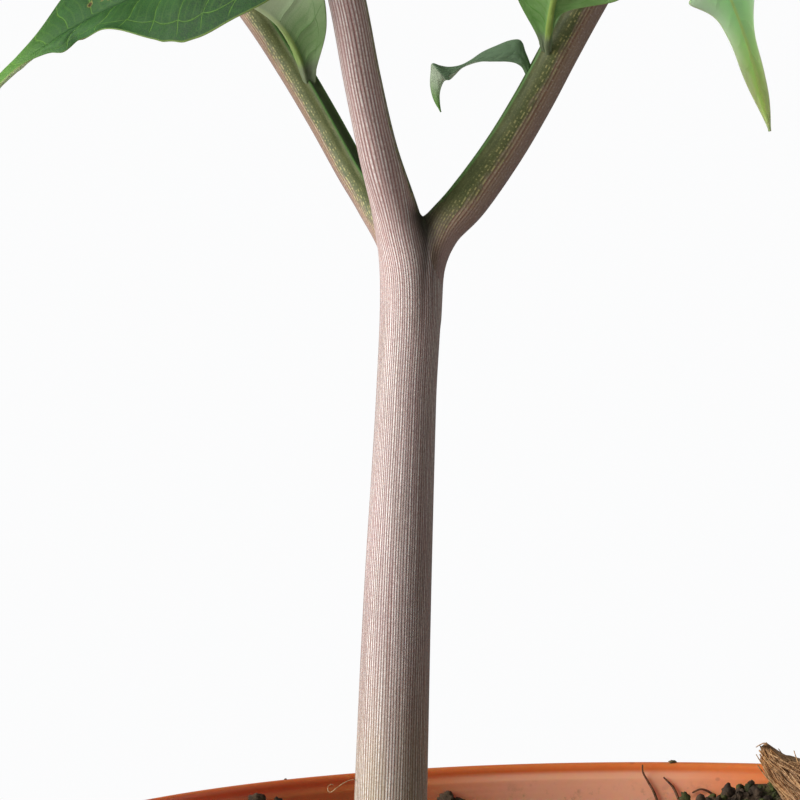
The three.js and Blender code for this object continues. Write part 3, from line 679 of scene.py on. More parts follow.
def stem_paint():
    """Mauve and olive skin with fine pale lines; green above on the rachises, edged with yellow dashes."""
    p = Paint("stem_skin")
    across, length, _ = p.parts(p.uv("grain"))
    off, rise, _ = p.parts(p.uv("side"))
    # How deep a point lies in the fold's painted shade.
    fold = p.parts(p.uv("fold"))[0]
    branch = p.parts(p.uv("kind"))[0]
    # The pale lines and red grooves fade towards the lower side of the rachises.
    line_fade = p.times(branch, p.step(off, 0.52, 0.7, 0.15, 0.8))
    stripe, centre, pale, groove, red = stem_stripes(p, across, length, line_fade)
    specks = p.streaks((across, 2.2), (length, 2.6), 1.0)
    ragged = p.streaks((across, 0.8), (length, 0.25), 3.0)
    edge = p.math("MULTIPLY_ADD", p.less(ragged, 0.5), 0.25, off)

    skin = stem_ground(p, across, length, off, rise, branch)
    line_colour = p.mix(branch, tint(236, 230, 224), tint(192, 170, 146))
    skin = p.mix(p.times(pale, 0.95), skin, line_colour)
    skin = p.over(skin, red, 0.88, (122, 66, 58))
    bright = p.mix(p.step(rise, 180.0, 230.0), tint(214, 208, 158), tint(228, 216, 206))
    skin = p.mix(p.step(specks, 0.58, 0.72, 0.0, 0.3), skin, bright)
    skin = p.mix(p.step(specks, 0.42, 0.3, 0.0, 0.25), skin, tint(104, 78, 72))
    green = p.times(p.line(edge, 0.42, 0.58), p.step(rise, 292.0, 302.0))
    skin = p.mix(green, skin, rachis_rind(p, ragged, specks, off))
    flecks = p.streaks((stripe, 5.1), (length, 1.5), 1.0)
    belt = p.line(p.size(p.less(edge, 0.44)), 0.03, 0.17)
    fleck = p.times(p.times(p.step(flecks, 0.48, 0.6), p.line(centre, 0.06, 0.3)), belt)
    fleck = p.times(fleck, p.step(rise, 290.0, 300.0))
    skin = p.over(skin, fleck, 0.7, (200, 190, 124))
    # Painted shade: the dark crease that runs down the petiole below the fork.
    skin = p.over(skin, fold, 0.95, (40, 40, 32))

    raised = p.less(p.times(pale, 0.6), groove)
    ridges = p.bump(p.times(raised, p.less(1.0, green)), 0.55, 0.00012)
    grainy = p.bump(p.noise(p.place(), 2600.0, 2.0), 0.12, 0.0002, ridges)
    rough = p.plus(p.step(p.noise(p.place(), 350.0, 3.0), 0.3, 0.7, 0.38, 0.5), p.times(green, 0.16))
    return p.finish(skin, rough, grainy, 0.45, (0.08, (1.0, 0.5, 0.3), 0.0012))


def vein_lines(p, phase, loop, away, fine):
    """How far a point lies on a lateral or marginal vein, from 0 to 1."""
    near = p.size(p.less(p.math("FRACT", p.plus(phase, 0.5)), 0.5))
    inner = p.step(p.plus(away, p.times(fine, 0.1)), 1.0, 0.9)
    lateral = p.times(p.line(near, 0.006, 0.026), inner)
    ring = p.line(p.size(loop), 0.003, 0.014)
    veins = p.math("MAXIMUM", lateral, p.times(ring, 0.8))
    return p.times(veins, p.step(fine, 0.2, 0.6, 0.45, 1.0))


def curled_colour(p, place, reach):
    """Grey green as far as the fold, with a pale strip along the lower edge; then pale with a green tip."""
    green = p.mix(p.step(place, 0.0, 0.2), tint(98, 126, 84), tint(122, 149, 118))
    strip = p.times(p.step(reach, 0.45, 0.6), p.line(p.size(p.less(place, 0.54)), 0.07, 0.12))
    green = p.mix(p.times(strip, 0.8), green, tint(196, 208, 184))
    tail = p.mix(p.step(place, 0.76, 0.97), tint(176, 190, 164), tint(98, 138, 68))
    return p.mix(p.step(place, 0.7, 0.715), green, tail)


def blade_green(p, under, kind, phase, loop, fine, net, veins):
    """A blade's mottled green with its net, minor veins, lateral veins and midrib."""
    shades = BLADE_COLOURS[("lush" if kind == "lush" else "under") if under else "upper"]
    deep, light, mottle, vein, rib = (tint(*colour) for colour in shades)
    broad = p.noise(p.place(), 45.0, 3.0)
    patches = p.noise(p.place(), 240.0, 3.0, 0.6)
    skin = p.mix(p.step(broad, 0.35, 0.65), deep, light)
    skin = p.mix(p.step(patches, 0.42, 0.7, 0.0, 0.4), skin, mottle)
    skin = p.mix(p.step(fine, 0.35, 0.75, 0.0, 0.2), skin, mottle)
    skin = p.mix(p.times(net, 0.12), skin, vein)
    between = p.times(p.plus(phase, p.times(broad, 0.3)), 3.0)
    apart = p.size(p.less(p.math("FRACT", between), 0.5))
    minor = p.times(p.line(apart, 0.03, 0.16), p.line(loop, -0.1, 0.1))
    skin = p.mix(p.times(minor, 0.3 if under else 0.12), skin, vein)
    skin = p.mix(p.times(veins, 0.5 if under else 0.65), skin, vein)
    centre = p.line(rib_distance(p), *((0.028, 0.05) if under else (0.01, 0.03)))
    return p.mix(p.times(centre, 0.9 if under else 0.6), skin, rib)


def rib_distance(p):
    """The distance from the midrib, at the scale of the span UVs."""
    return p.size(p.parts(p.uv("span"))[1])


def along_blade(p, skin, under, kind, place, reach):
    """What changes along a blade: a yellower tip, a grey foot below, and the colours of single leaflets."""
    skin = p.mix(p.step(place, 0.7, 0.98, 0.0, 0.5), skin, tint(112, 160, 72))
    if under and kind == "grown":
        skin = p.mix(p.step(place, 0.2, 0.06, 0.0, 0.35), skin, tint(92, 126, 58))
        # Painted sheen: the underside of a grown blade turns paler beyond its foot.
        skin = p.mix(p.step(place, 0.13, 0.27, 0.0, 0.5), skin, tint(206, 214, 186))
    if under:
        skin = p.mix(p.step(place, 0.045, 0.005, 0.0, 0.85), skin, tint(114, 120, 100))
    if kind == "young":
        # A young blade's pale green, partly its own colour and partly painted light that shines through it.
        fresh_and_lit_through = p.mix(p.step(place, 0.6, 0.95), tint(180, 236, 174), tint(202, 254, 134))
        skin = p.mix(0.92, skin, fresh_and_lit_through)
        skin = p.over(skin, p.line(rib_distance(p), 0.03, 0.075), 0.7, (206, 230, 150))
    if kind == "curled":
        skin = p.mix(0.85, skin, curled_colour(p, place, reach))
    return skin


def leaf_paint(name, under, kind):
    """Green blade with fine veins, a thin pale margin and brown marks; paler underneath."""
    p = Paint(name)
    place, reach, _ = p.parts(p.uv("blade"))
    phase, loop, _ = p.parts(p.uv("veins"))
    away = p.size(reach)
    fine = p.noise(p.place(), 900.0, 3.0, 0.6)
    net = p.line(p.cells(p.uv("span"), 22.0, "DISTANCE_TO_EDGE"), 0.02, 0.14)
    veins = vein_lines(p, phase, loop, away, fine)
    skin = blade_green(p, under, kind, phase, loop, fine, net, veins)
    skin = along_blade(p, skin, under, kind, place, reach)
    margin = tint(130, 150, 76) if kind in ("grown", "lush") else tint(166, 190, 120)
    skin = p.mix(p.step(away, 0.97, 0.995, 0.0, 0.5), skin, margin)
    ragged = p.plus(p.parts(p.uv("marks"))[0], p.times(p.less(fine, 0.5), 0.5))
    skin = p.mix(p.step(ragged, 0.46, 0.54, 0.0, 0.8), skin, tint(112, 112, 56))
    skin = p.mix(p.step(ragged, 0.62, 0.72), skin, tint(62, 46, 26))
    relief = p.times(veins, 1.0 if under else -1.0)
    normal = p.bump(p.plus(relief, p.times(net, 0.1)), 0.35, 0.0003)
    normal = p.bump(p.noise(p.place(), 2200.0, 2.0), 0.05, 0.0002, normal)
    weight, scale = BLADE_GLOW[kind]
    return p.finish(skin, p.step(fine, 0.3, 0.7, 0.56, 0.68), normal, 0.16, (weight, (0.7, 1.0, 0.6), scale))


def pot_paint():
    """Satin terracotta-coloured plastic with fine scuffs, lime marks outside, soil stains inside and a painted
    sheen below the lip.
    """
    p = Paint("pot_plastic")
    x, y, z = p.parts(p.place())
    radius = p.math("SQRT", p.plus(p.times(x, x), p.times(y, y)))
    cloud = p.noise(p.place(), 18.0, 4.0, 0.6)
    fine = p.noise(p.place(), 700.0, 3.0, 0.6)
    clay = p.mix(p.step(cloud, 0.3, 0.7), tint(224, 120, 58), tint(230, 132, 70))
    clay = p.mix(p.step(fine, 0.4, 0.8, 0.0, 0.16), clay, tint(182, 92, 46))
    streaks = p.noise(p.vector(p.times(x, 60.0), p.times(y, 60.0), p.times(z, 9.0)), 1.0, 4.0, 0.65)
    lime = p.times(p.step(streaks, 0.56, 0.78), p.step(z, 0.165, 0.02, 0.15, 0.6))
    clay = p.over(clay, lime, 0.6, (214, 176, 148))
    splash = p.times(p.step(p.noise(p.place(), 260.0, 4.0, 0.7), 0.54, 0.68), p.step(z, 0.188, 0.180))
    inside = p.step(radius, 0.1262, 0.1212)
    # Painted sheen: a pale pinkish band on the back of the inner wall just below the lip, standing in for a
    # reflection.
    painted_sheen = p.times(p.line(p.size(p.plus(x, 0.014)), 0.008, 0.045), p.step(z, 0.1887, 0.1878))
    painted_sheen = p.times(p.times(painted_sheen, inside), p.step(cloud, 0.2, 0.7, 0.7, 0.95))
    clay = p.mix(painted_sheen, clay, tint(243, 186, 156))
    clay = p.over(clay, p.times(splash, inside), 0.55, (84, 56, 38))
    dots = p.line(p.cells(p.place(), 120.0), 0.06, 0.1)
    clay = p.over(clay, dots, 0.3, (120, 62, 36))
    rough = p.step(p.noise(p.place(), 90.0, 4.0, 0.7), 0.3, 0.7, 0.3, 0.4)
    turned = p.bump(p.math("SINE", p.times(z, 5200.0)), 0.03, 0.0002)
    normal = p.bump(fine, 0.08, 0.0004, turned)
    return p.finish(clay, rough, normal, 0.6, (0.6, (1.0, 0.3, 0.1), 0.005))


def earth_paint(name, dark, light, mossy):
    """Damp potting mix: dark crumbs with ochre and mossy spots."""
    p = Paint(name)
    broad = p.noise(p.place(), 140.0, 4.0, 0.65)
    fine = p.noise(p.place(), 1100.0, 4.0, 0.7)
    earth = p.mix(p.step(broad, 0.35, 0.68), dark, light)
    earth = p.mix(p.step(fine, 0.55, 0.75, 0.0, 0.55), earth, tint(120, 96, 66))
    green = p.times(p.step(p.noise(p.place(), 90.0, 3.0, 0.6), 0.54, 0.66), p.step(fine, 0.4, 0.6))
    earth = p.over(earth, green, mossy, (92, 104, 44))
    return p.finish(earth, p.step(broad, 0.3, 0.7, 0.7, 0.95), p.bump(fine, 0.7, 0.0008), 0.3)


def fibre_paint(name):
    """Dry plant fibre, mottled with its dark colour."""
    dark, middle, light = (tint(*colour) for colour in FIBRE_COLOURS[name])
    p = Paint(name)
    broad = p.noise(p.place(), 120.0, 3.0, 0.6)
    fine = p.noise(p.place(), 1500.0, 3.0, 0.7)
    fibre = p.mix(p.step(broad, 0.35, 0.65), middle, light)
    fibre = p.mix(p.step(fine, 0.45, 0.7), fibre, dark)
    return p.finish(fibre, p.step(fine, 0.3, 0.7, 0.7, 0.92), p.bump(fine, 0.5, 0.0004), 0.25)


def floor_paint():
    """Pale matt floor with faint patches."""
    p = Paint("floor_paper")
    shade = p.mix(p.noise(p.place(), 3.0, 2.0), tint(236, 236, 236), tint(242, 242, 241))
    return p.finish(shade, p.step(p.noise(p.place(), 60.0, 2.0), 0.3, 0.7, 0.75, 0.9))


# Petiole and rachises

def axis_frames(axis, place):
    """Centres and radii of an axis, its side and upper directions, and how far its wings have grown."""
    centre, radius, tangent = axis_at(axis, place)
    side, upper = frame_at(tangent, np.full(len(place), float(axis["heading"])), np.zeros(len(place)))
    winged = axis.get("winged", BRANCH_WINGED)
    return centre, radius, side, upper, smooth(place, winged, winged + WING_START)


def axis_solid(name, axis, start=0.0):
    """A closed tube; its UVs are its grain (stripes across, millimetres along) and side (angle, height)."""
    points = along(axis["line"], np.linspace(0, 1, LENGTH_STEPS))[:, :3]
    length = np.linalg.norm(np.diff(points, axis=0), axis=1).sum()
    steps = int(length * (1 - start) / RING_STEP)
    place = np.linspace(start, 1, steps + 1)
    centre, radius, side, upper, wing = axis_frames(axis, place)
    sides = axis.get("sides", BRANCH_SIDES)
    angle = np.linspace(0, 2 * math.pi, sides, endpoint=False)
    reach = axis_radius(radius[:, None], angle[None, :], wing[:, None])[..., None]
    spokes = upper[:, None] * np.cos(angle)[None, :, None] + side[:, None] * np.sin(angle)[None, :, None]
    vertices = (centre[:, None] + spokes * reach).reshape(-1, 3)

    travelled = np.concatenate([[0], np.cumsum(np.linalg.norm(np.diff(centre, axis=0), axis=1))])
    turn = np.linspace(0, 2 * math.pi, sides + 1) - math.pi
    per_radian = rachis_stripes(name, centre[:, 2], travelled)
    stripes = STRIPES * axis["heading"] / 360 - per_radian[:, None] * turn[None, :]
    row, column = grid(steps + 1, sides, wrap=True)
    angle_from_upper = 1 - np.abs(1 - np.linspace(0, 2, sides + 1))
    grain = np.stack([stripes[row, column], travelled[row] + centre[0, 2]], -1)
    lie = np.stack([angle_from_upper[column], centre[row, 2]], -1)
    faces = (row * sides + column % sides).tolist()
    caps = np.zeros((2 * sides, 2))
    caps[sides:, 1] = centre[-1, 2]
    kind = np.full((len(faces) * 4 + 2 * sides, 2), 0.0 if name == "front" else 1.0)
    layers = {
        "grain": np.concatenate([grain.reshape(-1, 2), caps]),
        "side": np.concatenate([lie.reshape(-1, 2), caps]),
        "kind": kind,
    }
    return mesh_piece("axis_" + name, vertices, faces + end_caps(steps + 1, sides), layers)


def rachis_stripes(name, height, travelled):
    """Stripes for each radian: many round the petiole, fewer round a rachis, and fewer again on a branch."""
    petiole = STRIPES / (2 * math.pi)
    if name == "front":
        return lerp(petiole, RACHIS_STRIPES, smooth(height, 286.0, 312.0))
    if name in ("left", "right"):
        return lerp(0.7 * petiole, RACHIS_STRIPES, smooth(travelled, 6.0, 26.0))
    return np.full(len(height), 0.8 * RACHIS_STRIPES)


def axis_field(axis, points):
    """How far points lie outside an axis, in millimetres."""
    place = np.linspace(0, 1, FIELD_PLACES)
    centre, radius, side, upper, wing = axis_frames(axis, place)
    field = np.empty(len(points))
    for begin in range(0, len(points), FIELD_BATCH):
        batch = slice(begin, begin + FIELD_BATCH)
        some = points[batch]
        near = np.argmin(((some[:, None] - centre[None]) ** 2).sum(-1), axis=1)
        off = some - centre[near]
        angle = np.arctan2((off * side[near]).sum(-1), (off * upper[near]).sum(-1))
        field[batch] = np.linalg.norm(off, axis=1) - axis_radius(radius[near], angle, wing[near])
    return field


def blended_field(axes, points):
    """The distance outside several axes together, rounded where they meet."""
    fields = sorted((axis_field(axis, points) for axis in axes), key=lambda field: field.mean())
    whole = fields[0]
    for field in fields[1:]:
        overlap = np.maximum(FILLET - np.abs(whole - field), 0) / FILLET
        whole = np.minimum(whole, field) - overlap ** 2 * FILLET / 4
    return whole


def round_forks(points):
    """Moves the points near each fork onto the rounded union of the axes that meet there."""
    steps = FIELD_STEP * np.eye(3)
    for centre, reach, names in FORKS:
        distance = np.linalg.norm(points - np.array(centre), axis=1)
        near = np.nonzero(distance < reach)[0]
        weight = 1 - smooth(distance[near], 0.7 * reach, reach)
        axes = [AXES[name] for name in names]
        for _ in range(FORK_PASSES):
            here = points[near]
            level = blended_field(axes, here)
            slope = np.stack([(blended_field(axes, here + step) - level) / FIELD_STEP for step in steps], -1)
            slope = slope / np.maximum(np.linalg.norm(slope, axis=1, keepdims=True), 0.5)
            shift = np.clip(level * weight, -FORK_SHIFT, FORK_SHIFT)
            points[near] = here - slope * shift[:, None]


def press_fold(points):
    """Presses the fold below the fork into the points, and gives each one's share of its shade."""
    fold = along(FORK_FOLD, np.linspace(0, 1, FOLD_STEPS))
    off = np.linalg.norm(points - fold[FOLD_STEPS // 2], axis=1)
    near = np.nonzero((off < FOLD_REACH) & (points[:, 1] < 0))[0]
    gaps = np.linalg.norm((points[near, None] - fold[None])[..., [0, 2]], axis=-1)
    gap = gaps.min(axis=1)
    fade = 1 - FOLD_FADE * (np.argmin(gaps, axis=1) / (FOLD_STEPS - 1)) ** 2
    points[near, 1] += FOLD_DEPTH * (np.exp(-((gap / FOLD_SPREAD) ** 2)) * fade)
    shade = np.zeros(len(points))
    shade[near] = np.exp(-((gap / (FOLD_SHADE * FOLD_SPREAD)) ** 2)) * fade
    return shade


def shape_skin(piece):
    """Rounds the forks of the skin and presses its fold in, with the fold's shade as UVs."""
    mesh = piece.data
    points = np.empty(len(mesh.vertices) * 3)
    mesh.vertices.foreach_get("co", points)
    points = points.reshape(-1, 3) / MM
    round_forks(points)
    shade = press_fold(points)
    corner = np.empty(len(mesh.loops), np.int32)
    mesh.loops.foreach_get("vertex_index", corner)
    layer = np.stack([shade[corner], np.zeros(len(corner))], -1)
    mesh.uv_layers.new(name="fold").data.foreach_set("uv", layer.astype(np.float32).ravel())
    mesh.vertices.foreach_set("co", (points * MM).ravel())
    mesh.update()


def make_petiole():
    """The petiole and everything that grows from it but the leaflets, joined into one skin."""
    whole = axis_solid("front", AXES["front"], PETIOLE_START)
    for name, axis in AXES.items():
        if name != "front":
            combine(whole, "UNION", axis_solid(name, axis))
    shape_skin(whole)
    whole.name = "petiole_skin"
    dress(whole, stem_paint())
    settle(whole, "stem", "petiole")


# Leaflets

def midrib(leaflet):
    """The four points of the midrib's cubic curve, and the direction in which its foot leaves the axis."""
    on, at, heading, bend, climb, _, length, width, _ = leaflet
    centre, radius, tangent = (value[0] for value in axis_at(AXES[on], np.array([float(at)])))
    start = direction(heading, climb[0])
    lean = float(start @ tangent)
    if at == 1:
        out, seat = start, FIT_GAP
    else:
        out = unit(start - tangent * lean)
        seat = radius + SEAT_SHARE + FIT_GAP + width / 2 * LEAFLET_OUTLINE[0][1] * abs(lean)
    points = [centre + out * seat]
    for i, leg in enumerate(MIDRIB_LEGS):
        points.append(points[-1] + direction(heading + bend * i / 2, climb[i]) * length * leg)
    return np.array(points), out, seat


def bezier(points, place):
    t = place[:, None]
    u = 1 - t
    return u ** 3 * points[0] + 3 * u ** 2 * t * points[1] + 3 * u * t * t * points[2] + t ** 3 * points[3]


def bezier_tangent(points, place):
    t = place[:, None]
    legs = np.diff(points, axis=0)
    return unit((1 - t) ** 2 * legs[0] + 2 * (1 - t) * t * legs[1] + t * t * legs[2])


def half_width(leaflet, place, hand):
    """Half the width of a leaflet on one side of its midrib, in millimetres, with its lobes and notches."""
    width, more = leaflet[7], leaflet[8]
    half = width / 2 * outline_share(place + hand * more.get("skew", LEAFLET_SKEW))
    for at, size, spread in more.get("lobes", ()):
        half = half + (hand > 0) * size * np.exp(-(((place - at) / spread) ** 2))
    return half


def vein_phase(place, reach, index):
    """Lateral veins lie at whole numbers: they leave the midrib forwards, a little apart on the two sides."""
    away = np.abs(reach)
    slow = 0.2 * np.sin(11.0 * place + 2.1 * index + 2 * np.sign(reach))
    uneven = slow + 0.05 * np.sin(9 * away + 17 * place)
    return (place - VEIN_LEAD * away) * LATERALS + 0.4 * (reach > 0) + uneven + 0.3


def vein_loop(phase, reach):
    """How far outside the looped marginal vein a point lies, as a share of the half-width."""
    return np.abs(reach) - NODE_LINE - LOOP_LINE * np.abs(np.sin(math.pi * phase)) ** 0.8


def open_sheet(leaflet, place, reach, index):
    """A leaflet's middle surface and half-widths: folded along the midrib, cupped and waved."""
    _, _, heading, bend, _, roll, _, _, more = leaflet
    points, _, _ = midrib(leaflet)
    centre, tangent = bezier(points, place), bezier_tangent(points, place)
    side, upper = frame_at(tangent, heading + bend * place, roll + more.get("twist", 0) * place)
    hand, away, t = np.sign(reach)[None, :], np.abs(reach)[None, :], place[:, None]
    half = half_width(leaflet, t, hand)
    left, right = more.get("fold", (OPEN_FOLD, OPEN_FOLD))
    standing = np.radians(lerp(OPEN_FOLD, np.where(hand > 0, left, right), 1 - t ** 2))
    phase = more.get("phase", index * WAVE_SPREAD)
    swing = np.sin(2 * math.pi * more.get("waves", WAVES) * t + phase + hand)
    ripple = more.get("wave", WAVE_HEIGHT) * swing * np.sin(math.pi * t)
    crinkle = CRINKLE * np.sin(31 * t + 3.3 * hand + index) * np.sin(math.pi * t) * smooth(away, 0.8, 1.0)
    across = half * away * np.cos(standing)
    lift = half * (away * np.sin(standing) - LEAFLET_CUP * away ** 2) + ripple * away ** 2 + crinkle
    sheet = centre[:, None] + side[:, None] * (hand * across)[..., None] + upper[:, None] * lift[..., None]
    return sheet, half


def curled_sheet(place, reach):
    """The curled leaflet's middle surface and half-widths, between its two edges."""
    rows = along(CURLED, place)
    upper, lower = rows[:, [0, 4, 1]], rows[:, [2, 5, 3]]
    sheet = lerp(upper[:, None], lower[:, None], (1 + reach)[None, :, None] / 2)
    half = np.linalg.norm(lower - upper, axis=1)[:, None] / 2 + 0 * reach[None, :]
    sheet[..., 1] -= CURL_BULGE * half * (1 - reach ** 2)
    return sheet, half


def thicken(leaflet, index, place, reach, sheet, half):
    """The upper and lower face: pillows between sunken veins, a groove above and the midrib below."""
    length, width, more = leaflet[6:]
    away, t = np.abs(reach)[None, :], place[:, None]
    normal = unit(np.cross(np.gradient(sheet, axis=0), np.gradient(sheet, axis=1)))
    wave = vein_phase(t, reach[None, :], index)
    loop = vein_loop(wave, reach[None, :])
    offset = np.abs(np.mod(wave + 0.5, 1) - 0.5) * length / LATERALS
    vein = np.exp(-((offset / VEIN_WIDTH) ** 2)) * smooth(-loop, -0.02, 0.03) * smooth(away, 0.0, 0.1)
    quilt = (1 - vein) * smooth(away, 0.04, 0.3) * smooth(-loop, -0.1, 0.2)
    big = min(width / USUAL_WIDTH, 1)
    relief = big * (PILLOW * quilt - VEIN_DEPTH * vein)[..., None]
    from_rib = half * away
    grow = big * (1 - 0.75 * t)
    groove = big * RIB_GROOVE * np.exp(-((from_rib / GROOVE_WIDTH) ** 2)) * (1 - t)
    rib_width = MIDRIB_WIDTH * grow + MIDRIB_LEAST
    rib = more.get("rib", 1) * MIDRIB_HEIGHT * grow * np.exp(-((from_rib / rib_width) ** 2))
    thickness = lerp(LAMINA_THICKNESS, MARGIN_THICKNESS, smooth(away, 0.2, 1.0))
    thickness = thickness * np.where(t > TIP_START, 0.6, 1.0)
    top = sheet + normal * (relief + (thickness / 2 - groove)[..., None])
    bottom = sheet + normal * (relief - (thickness / 2 + rib)[..., None])
    return top, bottom


def sink_foot(leaflet, start, faces):
    """Rows before each face's first, which run into the axis and a little down it, and their places."""
    on, at, _, _, _, _, _, width, _ = leaflet
    _, out, seat = midrib(leaflet)
    foot = np.arange(FOOT_STEPS, 0, -1)[:, None, None] / FOOT_STEPS
    if at == 1:
        sink = foot * out * FOOT_DEPTH
    else:
        down = axis_at(AXES[on], np.array([float(at)]))[2][0]
        sink = foot ** 1.4 * out * seat * 0.5 + foot * down * min(FOOT_SLIDE, 0.07 * width)
    feet = [start - sink + (face[0] - start)[None] * (1 - 0.3 * foot) for face in faces]
    return [np.concatenate(pair) for pair in zip(feet, faces)], -foot[:, 0, 0] * FOOT_PLACE


def rim_corners(rows, columns):
    """The rows, columns and faces (upper 0, lower 1) of the corners of the quads round a blade's edge."""
    corners = []
    for c, order in ((0, 1), (columns - 1, -1)):
        corners += [[(r, c, 0), (r, c, 1), (r + 1, c, 1), (r + 1, c, 0)][::order] for r in range(rows - 1)]
    for r, order in ((0, -1), (rows - 1, 1)):
        corners += [[(r, c, 0), (r, c, 1), (r, c + 1, 1), (r, c + 1, 0)][::order] for c in range(columns - 1)]
    return np.array(corners).transpose(2, 0, 1)


def make_leaflet(name, leaflet, index, paints):
    """A blade with a raised midrib below, sunken veins above and a thin waved margin, joined to its axis."""
    length, _, more = leaflet[6:]
    kind = more.get("kind", "grown")
    rows, columns = CLOSE_GRID if name in CLOSE_LEAFLETS else FAR_GRID
    place, reach = np.linspace(0, 1, rows), np.linspace(-1, 1, columns)
    reach = np.sign(reach) * np.abs(reach) ** EDGE_CROWDING
    if kind == "curled":
        sheet, half = curled_sheet(place, reach)
    else:
        sheet, half = open_sheet(leaflet, place, reach, index)
    faces = thicken(leaflet, index, place, reach, sheet, half)
    (top, bottom), before = sink_foot(leaflet, sheet[0, columns // 2], faces)
    place = np.concatenate([before, place])
    total = len(place)

    row, column = grid(total, columns)
    lower_row, lower_column = grid(total, columns, flip=True)
    rim_row, rim_column, rim_face = rim_corners(total, columns)
    all_rows = np.concatenate([row, lower_row, rim_row])
    all_columns = np.concatenate([column, lower_column, rim_column])
    which = np.concatenate([0 * row, 0 * lower_row + 1, rim_face])
    quads = all_rows * columns + all_columns + which * total * columns
    slots = np.concatenate([np.zeros(len(row)), np.ones(len(row)), np.zeros(len(rim_row))])

    grown, wide = np.clip(place, 0, 1)[:, None], reach[None, :]
    wave = vein_phase(grown, wide, index)
    marks = blemishes(name, grown, wide)
    from_rib = wide * half_width(leaflet, grown, np.sign(wide))
    layers = {
        "blade": (grown + 0 * wide, wide + 0 * grown),
        "span": (grown * length * SPAN_SCALE + 0 * wide, from_rib * SPAN_SCALE),
        "veins": (wave, vein_loop(wave, wide)),
        "marks": (marks, 0 * marks),
    }
    corners = {key: np.stack([u[all_rows, all_columns], v[all_rows, all_columns]], -1).reshape(-1, 2)
               for key, (u, v) in layers.items()}
    vertices = np.concatenate([top.reshape(-1, 3), bottom.reshape(-1, 3)])
    piece = mesh_piece(name.replace("leaflet", "blade"), vertices, quads, corners, paints[kind], slots)
    settle(piece, "leaf", name)


def blemishes(name, place, reach):
    """How far a leaflet is gnawed or dried, from 0 to 1."""
    total = np.zeros(np.broadcast(place, reach).shape)
    for at, across, long, wide in BLEMISHES.get(name, []):
        total += np.exp(-(((place - at) / long) ** 2) - ((reach - across) / wide) ** 2)
    return np.clip(total, 0, 1)


# Pot

def inner_wall():
    """The pot's inner side from the lip down to the floor, as (radius, height)."""
    collar_foot = POT_HEIGHT - COLLAR_HEIGHT
    return [
        (RIM_RADIUS - POT_WALL - LIP_STEP, POT_HEIGHT - LIP_HEIGHT - 0.5),
        (WALL_TAPER_TOP + COLLAR_STEP - POT_WALL, collar_foot + COLLAR_EASE),
        (WALL_TAPER_TOP - POT_WALL, collar_foot - COLLAR_EASE),
        (FOOT_RADIUS + FOOT_DRAFT - POT_WALL, 2 * FLOOR_THICKNESS + FOOT_DRAFT),
        (FOOT_RADIUS - POT_WALL, 2 * FLOOR_THICKNESS),
    ]


def arc(centre, radius, start, end, steps):
    """Points of an arc as (radius, height), angles in degrees."""
    angles = np.radians(np.linspace(start, end, steps))
    return [(centre[0] + radius * math.cos(a), centre[1] + radius * math.sin(a)) for a in angles]


def lathe(profile, sides):
    """Vertices and quads of a closed profile turned round the upright axis; its ends lie on the axis."""
    profile = np.array(profile, float)
    turn = np.linspace(0, 2 * math.pi, sides, endpoint=False)
    ring = np.stack([np.cos(turn), np.sin(turn)], -1)
    body = profile[1:-1]
    level = np.broadcast_to(body[:, None, 1:], (len(body), sides, 1))
    round_wall = np.concatenate([ring[None] * body[:, None, :1], level], -1).reshape(-1, 3)
    vertices = np.concatenate([round_wall, [[0, 0, profile[0, 1]], [0, 0, profile[-1, 1]]]])
    return vertices, closed_faces(len(body), sides, flip=True)


def make_pot():
    """The turned pot, with a rounded lip, a grooved collar and drain holes."""
    collar_foot = POT_HEIGHT - COLLAR_HEIGHT
    foot_inside = FOOT_RADIUS - FOOT_WIDTH
    lip = LIP_ROUNDING
    profile = [
        (0, 0.2), (FOOT_PAD_RADIUS - 1, 0.2), (FOOT_PAD_RADIUS, 0.5),
        (FOOT_PAD_RADIUS + FOOT_DRAFT, FLOOR_THICKNESS),
        (foot_inside - FOOT_DRAFT, FLOOR_THICKNESS), (foot_inside - 0.3, 0.4), (foot_inside + 0.3, 0),
        *arc((FOOT_RADIUS - 1, 1.2), 1.2, -90, -10, 4),
        (FOOT_RADIUS + FOOT_DRAFT, FOOT_DRAFT + 2),
        (lerp(FOOT_RADIUS + FOOT_DRAFT, WALL_TAPER_TOP, 0.5), lerp(FOOT_DRAFT, collar_foot, 0.5)),
        (WALL_TAPER_TOP - 0.6, collar_foot - 4), (WALL_TAPER_TOP, collar_foot - 1.6),
        (WALL_TAPER_TOP + 1.2, collar_foot),
        *arc((WALL_TAPER_TOP + COLLAR_STEP - 1, collar_foot + 1), 1, -90, 0, 5),
        (RIM_RADIUS - 1.8, POT_HEIGHT - 9), (RIM_RADIUS - 1.6, POT_HEIGHT - 8.4),
        (RIM_RADIUS - 0.5, POT_HEIGHT - 7.6),
        *arc((RIM_RADIUS - lip, POT_HEIGHT - lip), lip, 0, 180, 13),
        (RIM_RADIUS - 2 * lip, POT_HEIGHT - 1.9), (RIM_RADIUS - 2 * lip - 0.15, POT_HEIGHT - 2.2),
        (RIM_RADIUS - 2 * lip - 0.5, POT_HEIGHT - 2.6), (RIM_RADIUS - 2 * lip - 0.85, POT_HEIGHT - 3),
        *inner_wall(),
        (0, 2 * FLOOR_THICKNESS),
    ]
    piece = mesh_piece("pot_shell", *lathe(profile, POT_SIDES))
    holes = []
    for k in range(DRAIN_HOLES):
        x, y = round_point(DRAIN_CIRCLE, 2 * math.pi * (k + 0.5) / DRAIN_HOLES)
        points, faces = lathe([(0, -2), (DRAIN_RADIUS, -2), (DRAIN_RADIUS, 9), (0, 9)], DRAIN_SIDES)
        holes.append((points + np.array([x, y, 0]), faces))
    combine(piece, "DIFFERENCE", mesh_piece("drain_cutter", *join(holes)))
    dress(piece, pot_paint())
    piece.data.set_sharp_from_angle(angle=math.radians(SHARP_ANGLE))
    settle(piece, "pot", "pot")


# Soil

